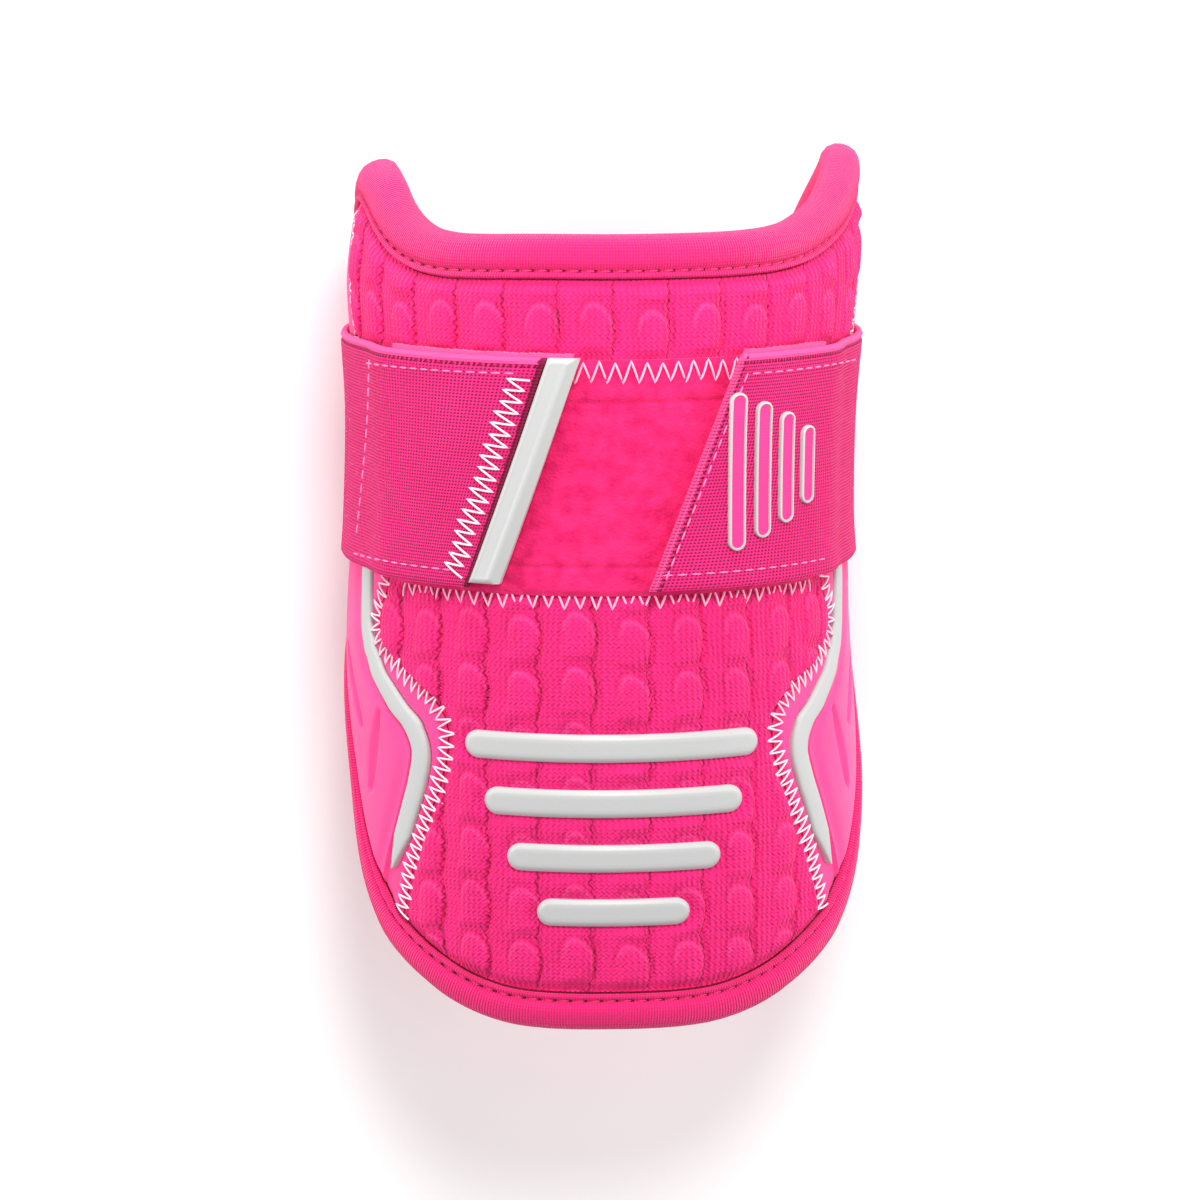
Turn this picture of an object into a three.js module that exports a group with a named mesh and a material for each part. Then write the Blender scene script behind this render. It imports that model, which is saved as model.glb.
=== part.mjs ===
import * as THREE from 'three';

// A batter's elbow guard, lying on its back with its face up and its upper end towards +Y.
// A place on it is a turn round the arm, in degrees from the middle of the face, and a height
// along the arm, from the lower tip. Across is a turn as a length in millimetres, and lift is
// the distance out from the outer face of the foam shell.

// Body of the guard
const guardLength = 173.4;
const halfWidth = 54.5;
const faceDepth = 55;
const backDepth = 56;
const wrapTurn = 131;
const fullestHeight = 100;
const faceDropTop = 6;
const faceDropTip = 12;
const hornRiseLeft = 13;
const hornRiseRight = 16.6;
const backFall = 35;
const backEdgeLow = 109;

// Walls of the layers, and the gap between neighbours
const seat = 0.3;
const coverGap = 0.7;
const seamGap = 0.5;
const shellWall = 4;
const liningWall = 1.2;
const knitWall = 1.5;
const sideWall = 1.6;
const marginDrop = 0.4;
const loopWall = 1.2;
const hookWall = 1.4;
const strapWall = 1.6;
const tabWall = 2.8;
const badgeWall = 1.1;

// Rim binding: a folded tape with an outer leg, a round back and an inner leg
const bindingShow = 8.5;
const bindingTuck = 6;
const bindingWall = 1.5;
const bindingTuckWall = 1.2;
const bindingBack = 1.5;

// Silver strip let into each side panel
const stripWidth = 5;
const stripWall = 1;
const stripUnderStrap = 6;

// Strap, and where its two ends lie on the face
const strapWidth = 50;
const strapFromTop = 23.6;
const strapBend = 3;
const leftEndAcross = 21.3;
const leftEndLean = 16.6;
const rightEndAcross = 16.5;
const rightEndLean = 19.2;
const hookReach = 50;
const hookShow = 1.5;
const strapSettle = 14;
const tabWidth = 6.2;
const tabInset = 1.2;
const sideSlack = 0.15;
const patchReach = 51;
const patchMargin = 1.5;

// Plain bars in the two badge places
const faceBars = 4;
const faceBarLength = 64;
const faceBarWidth = 6.2;
const faceBarPitch = 12.4;
const faceBarLowest = 27.5;
const strapBars = 4;
const strapBarLength = 34;
const strapBarWidth = 3.8;
const strapBarPitch = 6;
const strapBarAcross = 34;

// Facets
const rimColumns = 19;
const shellRows = 10;
const liningRows = 9;
const knitColumns = 18;
const panelColumns = 5;
const barFacet = 9;

// The rim from the middle of the face to the back edge. turn is a share of wrapTurn, low of
// backEdgeLow, left and right of each horn's rise, and fall of backFall.
const rimShape = [
  { turn: 0.0, low: 0.01, left: 0.0, right: 0.0, fall: 0.0 },
  { turn: 0.12, low: 0.011, left: 0.0, right: 0.0, fall: 0.0 },
  { turn: 0.205, low: 0.021, left: -0.02, right: 0.0, fall: 0.0 },
  { turn: 0.29, low: 0.05, left: -0.04, right: 0.02, fall: 0.0 },
  { turn: 0.35, low: 0.081, left: 0.0, right: 0.07, fall: 0.0 },
  { turn: 0.41, low: 0.117, left: 0.15, right: 0.19, fall: 0.0 },
  { turn: 0.475, low: 0.162, left: 0.46, right: 0.36, fall: 0.0 },
  { turn: 0.535, low: 0.224, left: 0.77, right: 0.57, fall: 0.0 },
  { turn: 0.595, low: 0.31, left: 0.95, right: 0.77, fall: 0.0 },
  { turn: 0.65, low: 0.423, left: 1.0, right: 0.92, fall: 0.0 },
  { turn: 0.69, low: 0.532, left: 1.0, right: 1.0, fall: 0.03 },
  { turn: 0.735, low: 0.642, left: 1.0, right: 1.0, fall: 0.1 },
  { turn: 0.795, low: 0.73, left: 1.0, right: 1.0, fall: 0.22 },
  { turn: 0.855, low: 0.789, left: 1.0, right: 1.0, fall: 0.38 },
  { turn: 0.915, low: 0.844, left: 1.0, right: 1.0, fall: 0.61 },
  { turn: 0.97, low: 0.913, left: 1.0, right: 1.0, fall: 0.86 },
  { turn: 1.0, low: 1.0, left: 1.0, right: 1.0, fall: 1.0 },
];

// The seam between the knit panel and each side panel, and the middle of the silver strip.
// up is a share of the height from the seam's foot to its head, and the others of wrapTurn.
const seamFootTurn = 0.42;
const seamShape = [
  { up: 0.025, seam: 0.412, strip: 0.464 },
  { up: 0.08, seam: 0.392, strip: 0.441 },
  { up: 0.127, seam: 0.369, strip: 0.417 },
  { up: 0.174, seam: 0.344, strip: 0.394 },
  { up: 0.224, seam: 0.318, strip: 0.371 },
  { up: 0.271, seam: 0.301, strip: 0.36 },
  { up: 0.308, seam: 0.298, strip: 0.379 },
  { up: 0.336, seam: 0.309, strip: 0.418 },
  { up: 0.362, seam: 0.34, strip: 0.453 },
  { up: 0.38, seam: 0.378, strip: 0.476 },
  { up: 0.398, seam: 0.42, strip: 0.492 },
  { up: 0.42, seam: 0.46, strip: 0.511 },
  { up: 0.449, seam: 0.485, strip: 0.524 },
  { up: 0.478, seam: 0.484, strip: 0.528 },
  { up: 0.51, seam: 0.462, strip: 0.531 },
  { up: 0.561, seam: 0.462, strip: 0.538 },
  { up: 0.655, seam: 0.5, strip: 0.572 },
  { up: 0.756, seam: 0.55, strip: 0.618 },
  { up: 0.865, seam: 0.599, strip: 0.664 },
  { up: 0.937, seam: 0.634, strip: 0.695 },
  { up: 1.0, seam: 0.656, strip: 0.718 },
];
const stripFootRow = 1;

// How far each side leans out, as a share of halfWidth, with up a share of guardLength
const sideLean = [
  { up: 0.0, left: -0.02, right: 0.04 },
  { up: 0.27, left: -0.012, right: 0.034 },
  { up: 0.4, left: 0.004, right: 0.004 },
  { up: 0.49, left: 0.002, right: -0.016 },
  { up: 0.56, left: -0.01, right: -0.022 },
  { up: 0.63, left: -0.024, right: -0.036 },
  { up: 0.76, left: -0.034, right: -0.03 },
  { up: 0.86, left: -0.018, right: -0.004 },
  { up: 0.93, left: -0.008, right: 0.014 },
  { up: 1.0, left: -0.032, right: 0.012 },
  { up: 1.09, left: -0.08, right: 0.006 },
];

// The binding's section: how far in from the shell's edge, and lift
const bindingOver = coverGap + bindingWall;
const bindingUnder = -shellWall - coverGap - bindingTuckWall;
const bindingSection = [
  { inward: bindingShow, lift: coverGap },
  { inward: bindingShow, lift: coverGap + bindingWall * 0.6 },
  { inward: bindingShow * 0.85, lift: bindingOver },
  { inward: 0, lift: bindingOver },
  { inward: -bindingBack * 0.75, lift: 0 },
  { inward: -seat - bindingBack, lift: -shellWall * 0.45 },
  { inward: -bindingBack * 0.75, lift: bindingUnder * 0.85 },
  { inward: bindingBack, lift: bindingUnder },
  { inward: bindingTuck, lift: bindingUnder + bindingTuckWall * 0.3 },
  { inward: bindingTuck, lift: bindingUnder + bindingTuckWall },
  { inward: -seat, lift: bindingUnder + bindingTuckWall },
  { inward: -seat, lift: coverGap },
];

// Lifts of the layers
const liningOver = -shellWall - coverGap;
const liningUnder = liningOver - liningWall;
const knitOver = coverGap + knitWall;
const sideOver = coverGap + sideWall;
const grooveFloor = sideOver - stripWall - seat;
const loopUnder = knitOver + seat;
const loopOver = loopUnder + loopWall;
const hookUnder = loopOver + seat;
const hookOver = hookUnder + hookWall;
const strapOnFace = hookOver + seat;
const strapOnSide = Math.max(sideOver, bindingOver) + seat + sideSlack;

const degree = Math.PI / 180;
const turnPerMm = 1 / (halfWidth * degree);
const strapLow = guardLength - strapFromTop - strapWidth;
const strapHigh = strapLow + strapWidth;
const strapMiddle = strapLow + strapWidth / 2;

// The binding hangs lowest on the back edges, and the strap's flat back passes just under it
const bindingDrop = Math.max(...bindingSection.map(
  ({ inward, lift }) => -(backDepth + lift) * Math.cos((wrapTurn - inward * turnPerMm) * degree),
));
const axisHeight = strapWall + seat + bindingDrop;

function clamp01(value) {
  return Math.min(Math.max(value, 0), 1);
}

function smooth(value) {
  const share = clamp01(value);
  return share * share * (3 - 2 * share);
}

// Value of one column of a table at a place along another, on a smooth curve through its rows
function readSmooth(table, key, at, column) {
  const last = table.length - 1;
  const place = Math.min(Math.max(at, table[0][key]), table[last][key]);
  let row = 0;
  while (row < last - 1 && table[row + 1][key] < place) row += 1;
  const slope = (index) => {
    const before = table[Math.max(index - 1, 0)];
    const after = table[Math.min(index + 1, last)];
    return (after[column] - before[column]) / (after[key] - before[key]);
  };
  const span = table[row + 1][key] - table[row][key];
  const share = (place - table[row][key]) / span;
  const start = table[row][column];
  const end = table[row + 1][column];
  const startPull = slope(row) * span * share * (1 - share) * (1 - share);
  const endPull = slope(row + 1) * span * share * share * (1 - share);
  return start + (end - start) * smooth(share) + startPull - endPull;
}

// The same on straight lines between the rows
function readStraight(table, key, at, column) {
  const last = table.length - 1;
  let row = 0;
  while (row < last - 1 && table[row + 1][key] < at) row += 1;
  const share = clamp01((at - table[row][key]) / (table[row + 1][key] - table[row][key]));
  return THREE.MathUtils.lerp(table[row][column], table[row + 1][column], share);
}

function depthOfFace(height) {
  const above = Math.max(height - fullestHeight, 0) / (guardLength - fullestHeight);
  const below = Math.max(fullestHeight - height, 0) / fullestHeight;
  return faceDepth - faceDropTop * above * above - faceDropTip * below * below;
}

function widthOfSide(turn, height) {
  const side = turn < 0 ? 'left' : 'right';
  return halfWidth * (1 + readSmooth(sideLean, 'up', height / guardLength, side));
}

// A point of the guard from its turn, height and lift
function onGuard(turn, height, lift) {
  const wide = widthOfSide(turn, height) + lift;
  const deep = (Math.abs(turn) < 90 ? depthOfFace(height) : backDepth) + lift;
  return new THREE.Vector3(
    wide * Math.sin(turn * degree),
    height - strapMiddle,
    axisHeight + deep * Math.cos(turn * degree),
  );
}

// A closed body from points and triangles, with its faces pointing out
function bodyFrom(points, triangles) {
  const volume = triangles.reduce(
    (sum, [a, b, c]) => sum + points[a].dot(points[b].clone().cross(points[c])),
    0,
  );
  const outward = volume < 0 ? triangles.map(([a, b, c]) => [a, c, b]) : triangles;
  const geometry = new THREE.BufferGeometry().setFromPoints(points);
  geometry.setIndex(outward.flat());
  geometry.computeVertexNormals();
  return geometry;
}

// A wall between two skins, each a grid of points, closed round its edge
function wall(columns, rows, over, under) {
  const points = [];
  for (const skin of [over, under]) {
    for (let j = 0; j <= rows; j += 1) {
      for (let i = 0; i <= columns; i += 1) points.push(skin(i, j));
    }
  }
  const perSkin = points.length / 2;
  const at = (i, j) => j * (columns + 1) + i;
  const triangles = [];
  for (let j = 0; j < rows; j += 1) {
    for (let i = 0; i < columns; i += 1) {
      const [a, b, c, d] = [at(i, j), at(i + 1, j), at(i + 1, j + 1), at(i, j + 1)];
      triangles.push([a, b, c], [a, c, d]);
      triangles.push([a + perSkin, c + perSkin, b + perSkin], [a + perSkin, d + perSkin, c + perSkin]);
    }
  }
  const edge = [];
  for (let i = 0; i < columns; i += 1) edge.push(at(i, 0));
  for (let j = 0; j < rows; j += 1) edge.push(at(columns, j));
  for (let i = columns; i > 0; i -= 1) edge.push(at(i, rows));
  for (let j = rows; j > 0; j -= 1) edge.push(at(0, j));
  edge.forEach((a, index) => {
    const b = edge[(index + 1) % edge.length];
    triangles.push([b, a, a + perSkin], [b, a + perSkin, b + perSkin]);
  });
  return bodyFrom(points, triangles);
}

// A wall on the guard: place gives the turn and height of a grid point, and two lifts bound it
function wallOnGuard(columns, rows, place, over, under) {
  const skin = (lift) => (i, j) => {
    const { turn, height } = place(i, j);
    return onGuard(turn, height, typeof lift === 'function' ? lift(i, j) : lift);
  };
  return wall(columns, rows, skin(over), skin(under));
}

// The rim, walked round once: lower edge to the right, up, upper edge to the left, down
const rimLow = (turn) => backEdgeLow * readSmooth(rimShape, 'turn', Math.abs(turn) / wrapTurn, 'low');
const rimHigh = (turn) => {
  const read = (column) => readSmooth(rimShape, 'turn', Math.abs(turn) / wrapTurn, column);
  const rise = turn < 0 ? hornRiseLeft * read('left') : hornRiseRight * read('right');
  return guardLength + rise - backFall * read('fall');
};

// Turns of evenly counted columns, a little closer together towards the back edges
function columnTurns(perSide) {
  const crowding = 0.06;
  return Array.from({ length: 2 * perSide + 1 }, (_, index) => {
    const share = index / perSide - 1;
    return wrapTurn * (share + crowding * Math.sin(Math.PI * share));
  });
}

const rimTurns = columnTurns(rimColumns);
const backEdge = (turn) => Array.from({ length: shellRows - 1 }, (_, index) => {
  const height = THREE.MathUtils.lerp(rimLow(turn), rimHigh(turn), (index + 1) / shellRows);
  return new THREE.Vector2(turn / turnPerMm, height);
});
const rimPath = [
  ...rimTurns.map((turn) => new THREE.Vector2(turn / turnPerMm, rimLow(turn))),
  ...backEdge(wrapTurn),
  ...rimTurns.map((turn) => new THREE.Vector2(-turn / turnPerMm, rimHigh(-turn))),
  ...backEdge(-wrapTurn).reverse(),
];

// The rim path moved in from the edge by a distance, with its corners kept square to both sides
function rimInset(distance) {
  return rimPath.map((point, index) => {
    const before = rimPath[(index + rimPath.length - 1) % rimPath.length];
    const after = rimPath[(index + 1) % rimPath.length];
    const arriving = point.clone().sub(before).normalize();
    const leaving = after.clone().sub(point).normalize();
    const along = arriving.clone().add(leaving).normalize();
    const inward = new THREE.Vector2(-along.y, along.x);
    return point.clone().addScaledVector(inward, distance / along.dot(leaving));
  });
}

// Inner edge of the binding, which the panels stop at
const panelRim = rimInset(bindingShow + seamGap);
const panelLow = panelRim.slice(0, 2 * rimColumns + 1);
const upperStart = 2 * rimColumns + shellRows;
const panelHigh = panelRim.slice(upperStart, upperStart + 2 * rimColumns + 1).reverse();
const panelEndTurn = panelLow[2 * rimColumns].x * turnPerMm;
const lowAt = (turn) => readStraight(panelLow, 'x', turn / turnPerMm, 'y');
const highAt = (turn) => readStraight(panelHigh, 'x', turn / turnPerMm, 'y');
const lowRimTurn = (height) => (
  readStraight(panelLow.slice(rimColumns), 'y', height, 'x') * turnPerMm
);

// Rows of the panels: level on the lower half, bending up to the rim's curve at the top
const panelTop = highAt(0);
const levelBelow = strapMiddle;
function rowHeight(height, turn) {
  const bend = smooth((height - levelBelow) / (panelTop - levelBelow));
  return height + bend * (highAt(turn) - panelTop);
}

const footTurn = seamFootTurn * wrapTurn;
const footHeight = lowAt(footTurn);
const seamRows = seamShape.map((row, index) => {
  const before = seamShape[Math.max(index - 1, 0)];
  const after = seamShape[Math.min(index + 1, seamShape.length - 1)];
  const rise = (after.up - before.up) * (panelTop - footHeight);
  const shift = (after.strip - before.strip) * wrapTurn / turnPerMm;
  return {
    height: footHeight + row.up * (panelTop - footHeight),
    seam: row.seam * wrapTurn,
    strip: row.strip * wrapTurn,
    stripHalf: (stripWidth / 2) * Math.hypot(1, shift / rise) * turnPerMm,
  };
});

// Foam shell: the padded half sleeve that everything is sewn to
function foamShell() {
  const place = (i, j) => {
    const turn = rimTurns[i];
    return { turn, height: THREE.MathUtils.lerp(rimLow(turn), rimHigh(turn), j / shellRows) };
  };
  return wallOnGuard(2 * rimColumns, shellRows, place, 0, -shellWall);
}

// Inner lining: it fills the inside as far as the binding's inner leg
function innerLining() {
  const rim = rimInset(bindingTuck + seamGap);
  const low = rim.slice(0, 2 * rimColumns + 1);
  const high = rim.slice(upperStart, upperStart + 2 * rimColumns + 1).reverse();
  const place = (i, j) => {
    const spot = low[i].clone().lerp(high[i], j / liningRows);
    return { turn: spot.x * turnPerMm, height: spot.y };
  };
  return wallOnGuard(2 * rimColumns, liningRows, place, liningOver, liningUnder);
}

// Knit panel: the face, from the lower tip to the top rim between the two seams
function knitPanel() {
  const tipRows = [0.18, 0.36, 0.55, 0.73, 0.88, 1].map((share) => ({
    height: lowAt(share * footTurn),
    half: share * footTurn,
  }));
  const upperRows = seamRows.map(({ height, seam }) => ({ height, half: seam }));
  const rows = [...tipRows, ...upperRows];
  const place = (i, j) => {
    const turn = rows[j].half * (2 * i / knitColumns - 1);
    return { turn, height: rowHeight(rows[j].height, turn) };
  };
  return wallOnGuard(knitColumns, rows.length - 1, place, knitOver, coverGap);
}

// Side panel: from the seam to the binding, with a groove for the silver strip
function sidePanel(side) {
  const ramp = seat * turnPerMm;
  const least = 0.1;
  const grooveTop = strapLow + stripUnderStrap + seat;
  const rows = seamRows.map((row) => {
    const start = row.seam + seamGap * turnPerMm;
    const end = Math.min(lowRimTurn(row.height), panelEndTurn);
    const grooveStart = row.strip - row.stripHalf - ramp;
    const grooveEnd = row.strip + row.stripHalf + ramp;
    const open = grooveEnd + ramp < end && row.height < grooveTop;
    const turns = [start, (start + grooveStart) / 2, grooveStart - ramp, grooveStart, grooveEnd];
    for (let k = 0; k <= panelColumns; k += 1) {
      turns.push(THREE.MathUtils.lerp(grooveEnd + ramp, end, k / panelColumns));
    }
    const count = turns.length - 1;
    return {
      height: row.height,
      turns: turns.map((turn, k) => Math.min(turn, end - (count - k) * least)),
      floor: open ? grooveFloor : sideOver - marginDrop,
    };
  });
  const columns = rows[0].turns.length - 1;
  const column = (i) => (side < 0 ? columns - i : i);
  const place = (i, j) => {
    const turn = side * rows[j].turns[column(i)];
    return { turn, height: rowHeight(rows[j].height, turn) };
  };
  const lifts = (i, j) => {
    const k = column(i);
    if (k < 3) return sideOver - marginDrop;
    return k < 5 ? rows[j].floor : sideOver;
  };
  return wallOnGuard(columns, rows.length - 1, place, lifts, coverGap);
}

// Silver strip: a thin moulded band that lies in the side panel's groove
function sideStrip(side) {
  const rows = seamRows.filter((row, index) => (
    index >= stripFootRow && row.height < strapLow + stripUnderStrap
  ));
  const across = [-1, -0.6, 0.6, 1];
  const tipShare = 0.35;
  const place = (i, j) => {
    const row = rows[j];
    const half = row.stripHalf * (j === 0 ? tipShare : 1);
    const footLift = j === 0 ? seat : 0;
    const turn = side * row.strip + across[i] * half;
    return { turn, height: rowHeight(row.height + footLift, turn) };
  };
  const over = (i) => sideOver - (i === 0 || i === across.length - 1 ? stripWall * 0.4 : 0);
  return wallOnGuard(across.length - 1, rows.length - 1, place, over, grooveFloor + seat);
}

// Rim binding: one tape folded over the whole edge
function rimBinding() {
  const rings = bindingSection.map(({ inward, lift }) => (
    rimInset(inward).map((point) => onGuard(point.x * turnPerMm, point.y, lift))
  ));
  const stations = rimPath.length;
  const points = rings.flat();
  const triangles = [];
  rings.forEach((_, ring) => {
    const next = (ring + 1) % rings.length;
    for (let k = 0; k < stations; k += 1) {
      const after = (k + 1) % stations;
      const [a, b] = [ring * stations + k, ring * stations + after];
      const [c, d] = [next * stations + after, next * stations + k];
      triangles.push([a, b, c], [a, c, d]);
    }
  });
  return bodyFrom(points, triangles);
}

// Distance across the face of the strap's ends, which lean
const leftEnd = (height) => -leftEndAcross + leftEndLean * (height - strapMiddle) / strapWidth;
const rightEnd = (height) => rightEndAcross + rightEndLean * (height - strapMiddle) / strapWidth;

// A piece on the face between two edges that are given as distances across
function facePiece(columns, rows, low, high, left, right, over, under) {
  const place = (i, j) => {
    const height = THREE.MathUtils.lerp(low, high, j / rows);
    const across = THREE.MathUtils.lerp(left(height), right(height), i / columns);
    return { turn: across * turnPerMm, height };
  };
  return wallOnGuard(columns, rows, place, over, under);
}

// Loop patch: the brushed pad across the face that the strap's ends grip
function loopPatch() {
  const left = () => -patchReach;
  const right = () => patchReach;
  const low = strapLow - patchMargin;
  return facePiece(14, 4, low, strapHigh - patchMargin / 2, left, right, loopOver, loopUnder);
}

// Hook pads: sewn under the strap's two ends, and a little wider than the strap at the top
function hookPad(side) {
  const low = strapLow + hookShow;
  const high = strapHigh + hookShow;
  const outer = () => side * hookReach;
  if (side < 0) {
    const inner = (height) => leftEnd(height) + tabWidth * 0.8;
    return facePiece(8, 5, low, high, outer, inner, hookOver, hookUnder);
  }
  const inner = (height) => rightEnd(height) + hookShow;
  return facePiece(8, 5, low, high, inner, outer, hookOver, hookUnder);
}

// Strap band: one elastic web that starts on the face, passes round the sides and lies flat
// across the open back. Its stations run from the right end round the back to the left end.
function strapBand() {
  const rows = 4;
  const bendReach = backDepth + strapOnSide - strapBend;
  const bendDrop = axisHeight - strapWall - strapBend;
  const bendTurn = Math.acos(-bendDrop / bendReach) / degree;
  const settleStart = hookReach * turnPerMm;
  const settleEnd = (hookReach + strapSettle) * turnPerMm;

  const onSurface = (side, turnAt, base) => (height, lift) => (
    onGuard(side * turnAt(height), height, base + lift)
  );
  const onBend = (side, angle) => (height, lift) => {
    const reach = strapBend + lift;
    const middle = widthOfSide(side, height) + strapOnSide - strapBend;
    const x = middle * Math.sin(bendTurn * degree) + reach * Math.sin(angle * degree);
    const z = strapWall + strapBend + reach * Math.cos(angle * degree);
    return new THREE.Vector3(side * x, height - strapMiddle, z);
  };
  const onBack = (side, share) => (height, lift) => {
    const middle = widthOfSide(side, height) + strapOnSide - strapBend;
    const x = middle * Math.sin(bendTurn * degree) * share;
    return new THREE.Vector3(side * x, height - strapMiddle, strapWall - lift);
  };

  const half = (side) => {
    const stations = [];
    const endTurn = (height) => side * (side < 0 ? leftEnd(height) : rightEnd(height)) * turnPerMm;
    for (let k = 0; k <= 8; k += 1) {
      const turnAt = (height) => THREE.MathUtils.lerp(endTurn(height), settleStart, k / 8);
      stations.push(onSurface(side, turnAt, strapOnFace));
    }
    for (let k = 1; k <= 3; k += 1) {
      const turn = THREE.MathUtils.lerp(settleStart, settleEnd, k / 3);
      const base = THREE.MathUtils.lerp(strapOnFace, strapOnSide, smooth(k / 3));
      stations.push(onSurface(side, () => turn, base));
    }
    for (let k = 1; k <= 8; k += 1) {
      const turn = THREE.MathUtils.lerp(settleEnd, bendTurn, k / 8);
      stations.push(onSurface(side, () => turn, strapOnSide));
    }
    for (let k = 1; k <= 4; k += 1) {
      stations.push(onBend(side, THREE.MathUtils.lerp(bendTurn, 180, k / 4)));
    }
    for (let k = 1; k <= 2; k += 1) stations.push(onBack(side, 1 - k / 3));
    return stations;
  };
  const stations = [...half(1), ...half(-1).reverse()];
  const heightOf = (j) => strapLow + strapWidth * j / rows;
  const over = (i, j) => stations[i](heightOf(j), strapWall);
  const under = (i, j) => stations[i](heightOf(j), 0);
  return wall(stations.length - 1, rows, over, under);
}

// Pull tab: a moulded bar bonded along the strap's left end
function pullTab() {
  const across = [0, 0.2, 0.8, 1];
  const rows = 4;
  const place = (i, j) => {
    const height = THREE.MathUtils.lerp(strapLow + tabInset, strapHigh, j / rows);
    const distance = leftEnd(height) + seat + across[i] * tabWidth;
    return { turn: distance * turnPerMm, height };
  };
  const over = (i) => strapOnFace + tabWall * (i === 0 || i === across.length - 1 ? 0.6 : 1);
  return wallOnGuard(across.length - 1, rows, place, over, strapOnFace);
}

// A bar with round ends and bevelled edges, lying across the guard or along it
function roundBar(across, height, length, width, isAlong, base) {
  const crosswise = [-1, -0.6, 0.6, 1];
  const round = width / 2;
  const straight = Math.ceil((length - width) / barFacet);
  const lengthwise = [-1, -1 + 0.3 * width / length];
  for (let k = 0; k <= straight; k += 1) {
    lengthwise.push((1 - width / length) * (2 * k / straight - 1));
  }
  lengthwise.push(1 - 0.3 * width / length, 1);
  const last = lengthwise.length - 1;
  const place = (i, j) => {
    const [from, side] = isAlong ? [lengthwise[j], -crosswise[i]] : [lengthwise[i], crosswise[j]];
    const reach = from * length / 2;
    const past = Math.max(Math.abs(reach) - (length / 2 - round), 0) / round;
    const half = round * Math.sqrt(Math.max(1 - past * past, 0.12));
    const [dAcross, dHeight] = isAlong ? [-side * half, reach] : [reach, side * half];
    return { turn: (across + dAcross) * turnPerMm, height: height + dHeight };
  };
  const over = (i, j) => {
    const [from, side] = isAlong ? [j, i] : [i, j];
    const isEdge = from === 0 || from === last || side === 0 || side === 3;
    return base + badgeWall * (isEdge ? 0.45 : 1);
  };
  return isAlong
    ? wallOnGuard(3, last, place, over, base)
    : wallOnGuard(last, 3, place, over, base);
}

// Plain bars that grow longer from the bottom of the face up
function faceBar(index) {
  const share = (index + 1) / faceBars;
  const length = faceBarLength * Math.sqrt(share);
  const height = faceBarLowest + faceBarPitch * index;
  return roundBar(0, height, length, faceBarWidth, false, knitOver + seat);
}

// The same plain bars, turned and smaller, on the right end of the strap
function strapBar(index) {
  const share = (strapBars - index) / strapBars;
  const length = strapBarLength * Math.sqrt(share);
  const across = strapBarAcross + strapBarPitch * (index - (strapBars - 1) / 2);
  return roundBar(across, strapMiddle, length, strapBarWidth, true, strapOnFace + strapWall + seat);
}

function finish(colour, roughness, metalness = 0) {
  return new THREE.MeshStandardMaterial({ color: colour, roughness, metalness });
}

const pinkFoam = finish(0xf0417f, 0.9);
const pinkLining = finish(0xf23f80, 0.95);
const pinkKnit = finish(0xfb4687, 0.9);
const pinkSide = finish(0xf63e82, 0.85);
const pinkTape = finish(0xee3078, 0.85);
const pinkWeb = finish(0xe0286f, 0.9);
const pinkLoop = finish(0xf83c85, 1);
const silverRubber = finish(0xdddfdd, 0.45);

const guard = new THREE.Group();

function addPiece(name, geometry, material) {
  const mesh = new THREE.Mesh(geometry, material);
  mesh.name = name;
  guard.add(mesh);
}

addPiece('foam_shell', foamShell(), pinkFoam);
addPiece('inner_lining', innerLining(), pinkLining);
addPiece('knit_panel', knitPanel(), pinkKnit);
addPiece('rim_binding', rimBinding(), pinkTape);
addPiece('loop_patch', loopPatch(), pinkLoop);
addPiece('strap_band', strapBand(), pinkWeb);
addPiece('pull_tab', pullTab(), silverRubber);
for (const [label, side] of [['left', -1], ['right', 1]]) {
  addPiece(`side_panel_${label}`, sidePanel(side), pinkSide);
  addPiece(`side_strip_${label}`, sideStrip(side), silverRubber);
  addPiece(`hook_pad_${label}`, hookPad(side), pinkLoop);
}
for (let index = 0; index < faceBars; index += 1) {
  addPiece(`face_bar_${index + 1}`, faceBar(index), silverRubber);
}
for (let index = 0; index < strapBars; index += 1) {
  addPiece(`strap_bar_${index + 1}`, strapBar(index), silverRubber);
}

export default guard;
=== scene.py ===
import math

import bpy
import numpy as np
from mathutils import Matrix, Vector


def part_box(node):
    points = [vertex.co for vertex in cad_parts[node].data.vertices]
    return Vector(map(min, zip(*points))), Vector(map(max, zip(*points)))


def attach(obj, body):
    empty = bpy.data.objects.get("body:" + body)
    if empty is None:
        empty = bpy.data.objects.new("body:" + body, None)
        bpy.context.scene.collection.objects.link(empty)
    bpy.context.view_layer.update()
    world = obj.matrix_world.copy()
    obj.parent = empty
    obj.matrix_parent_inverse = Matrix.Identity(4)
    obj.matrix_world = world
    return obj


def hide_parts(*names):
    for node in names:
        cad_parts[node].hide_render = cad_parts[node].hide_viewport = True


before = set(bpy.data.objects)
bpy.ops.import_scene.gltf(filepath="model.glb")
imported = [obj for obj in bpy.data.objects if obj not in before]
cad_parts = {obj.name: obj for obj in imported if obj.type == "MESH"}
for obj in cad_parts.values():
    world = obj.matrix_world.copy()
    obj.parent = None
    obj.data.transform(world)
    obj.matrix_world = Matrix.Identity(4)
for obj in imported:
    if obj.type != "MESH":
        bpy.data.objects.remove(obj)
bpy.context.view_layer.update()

# Camera
# The guard lies on its back and is seen straight on through a long lens, from 1.3 m away,
# a little from its upper end and a little from its left side.
GUARD_LENGTH = 0.1734
STRAP_FROM_TOP = 0.0236
STRAP_WIDTH = 0.050
STRAP_LOW = GUARD_LENGTH - STRAP_FROM_TOP - STRAP_WIDTH
STRAP_HIGH = STRAP_LOW + STRAP_WIDTH
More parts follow.
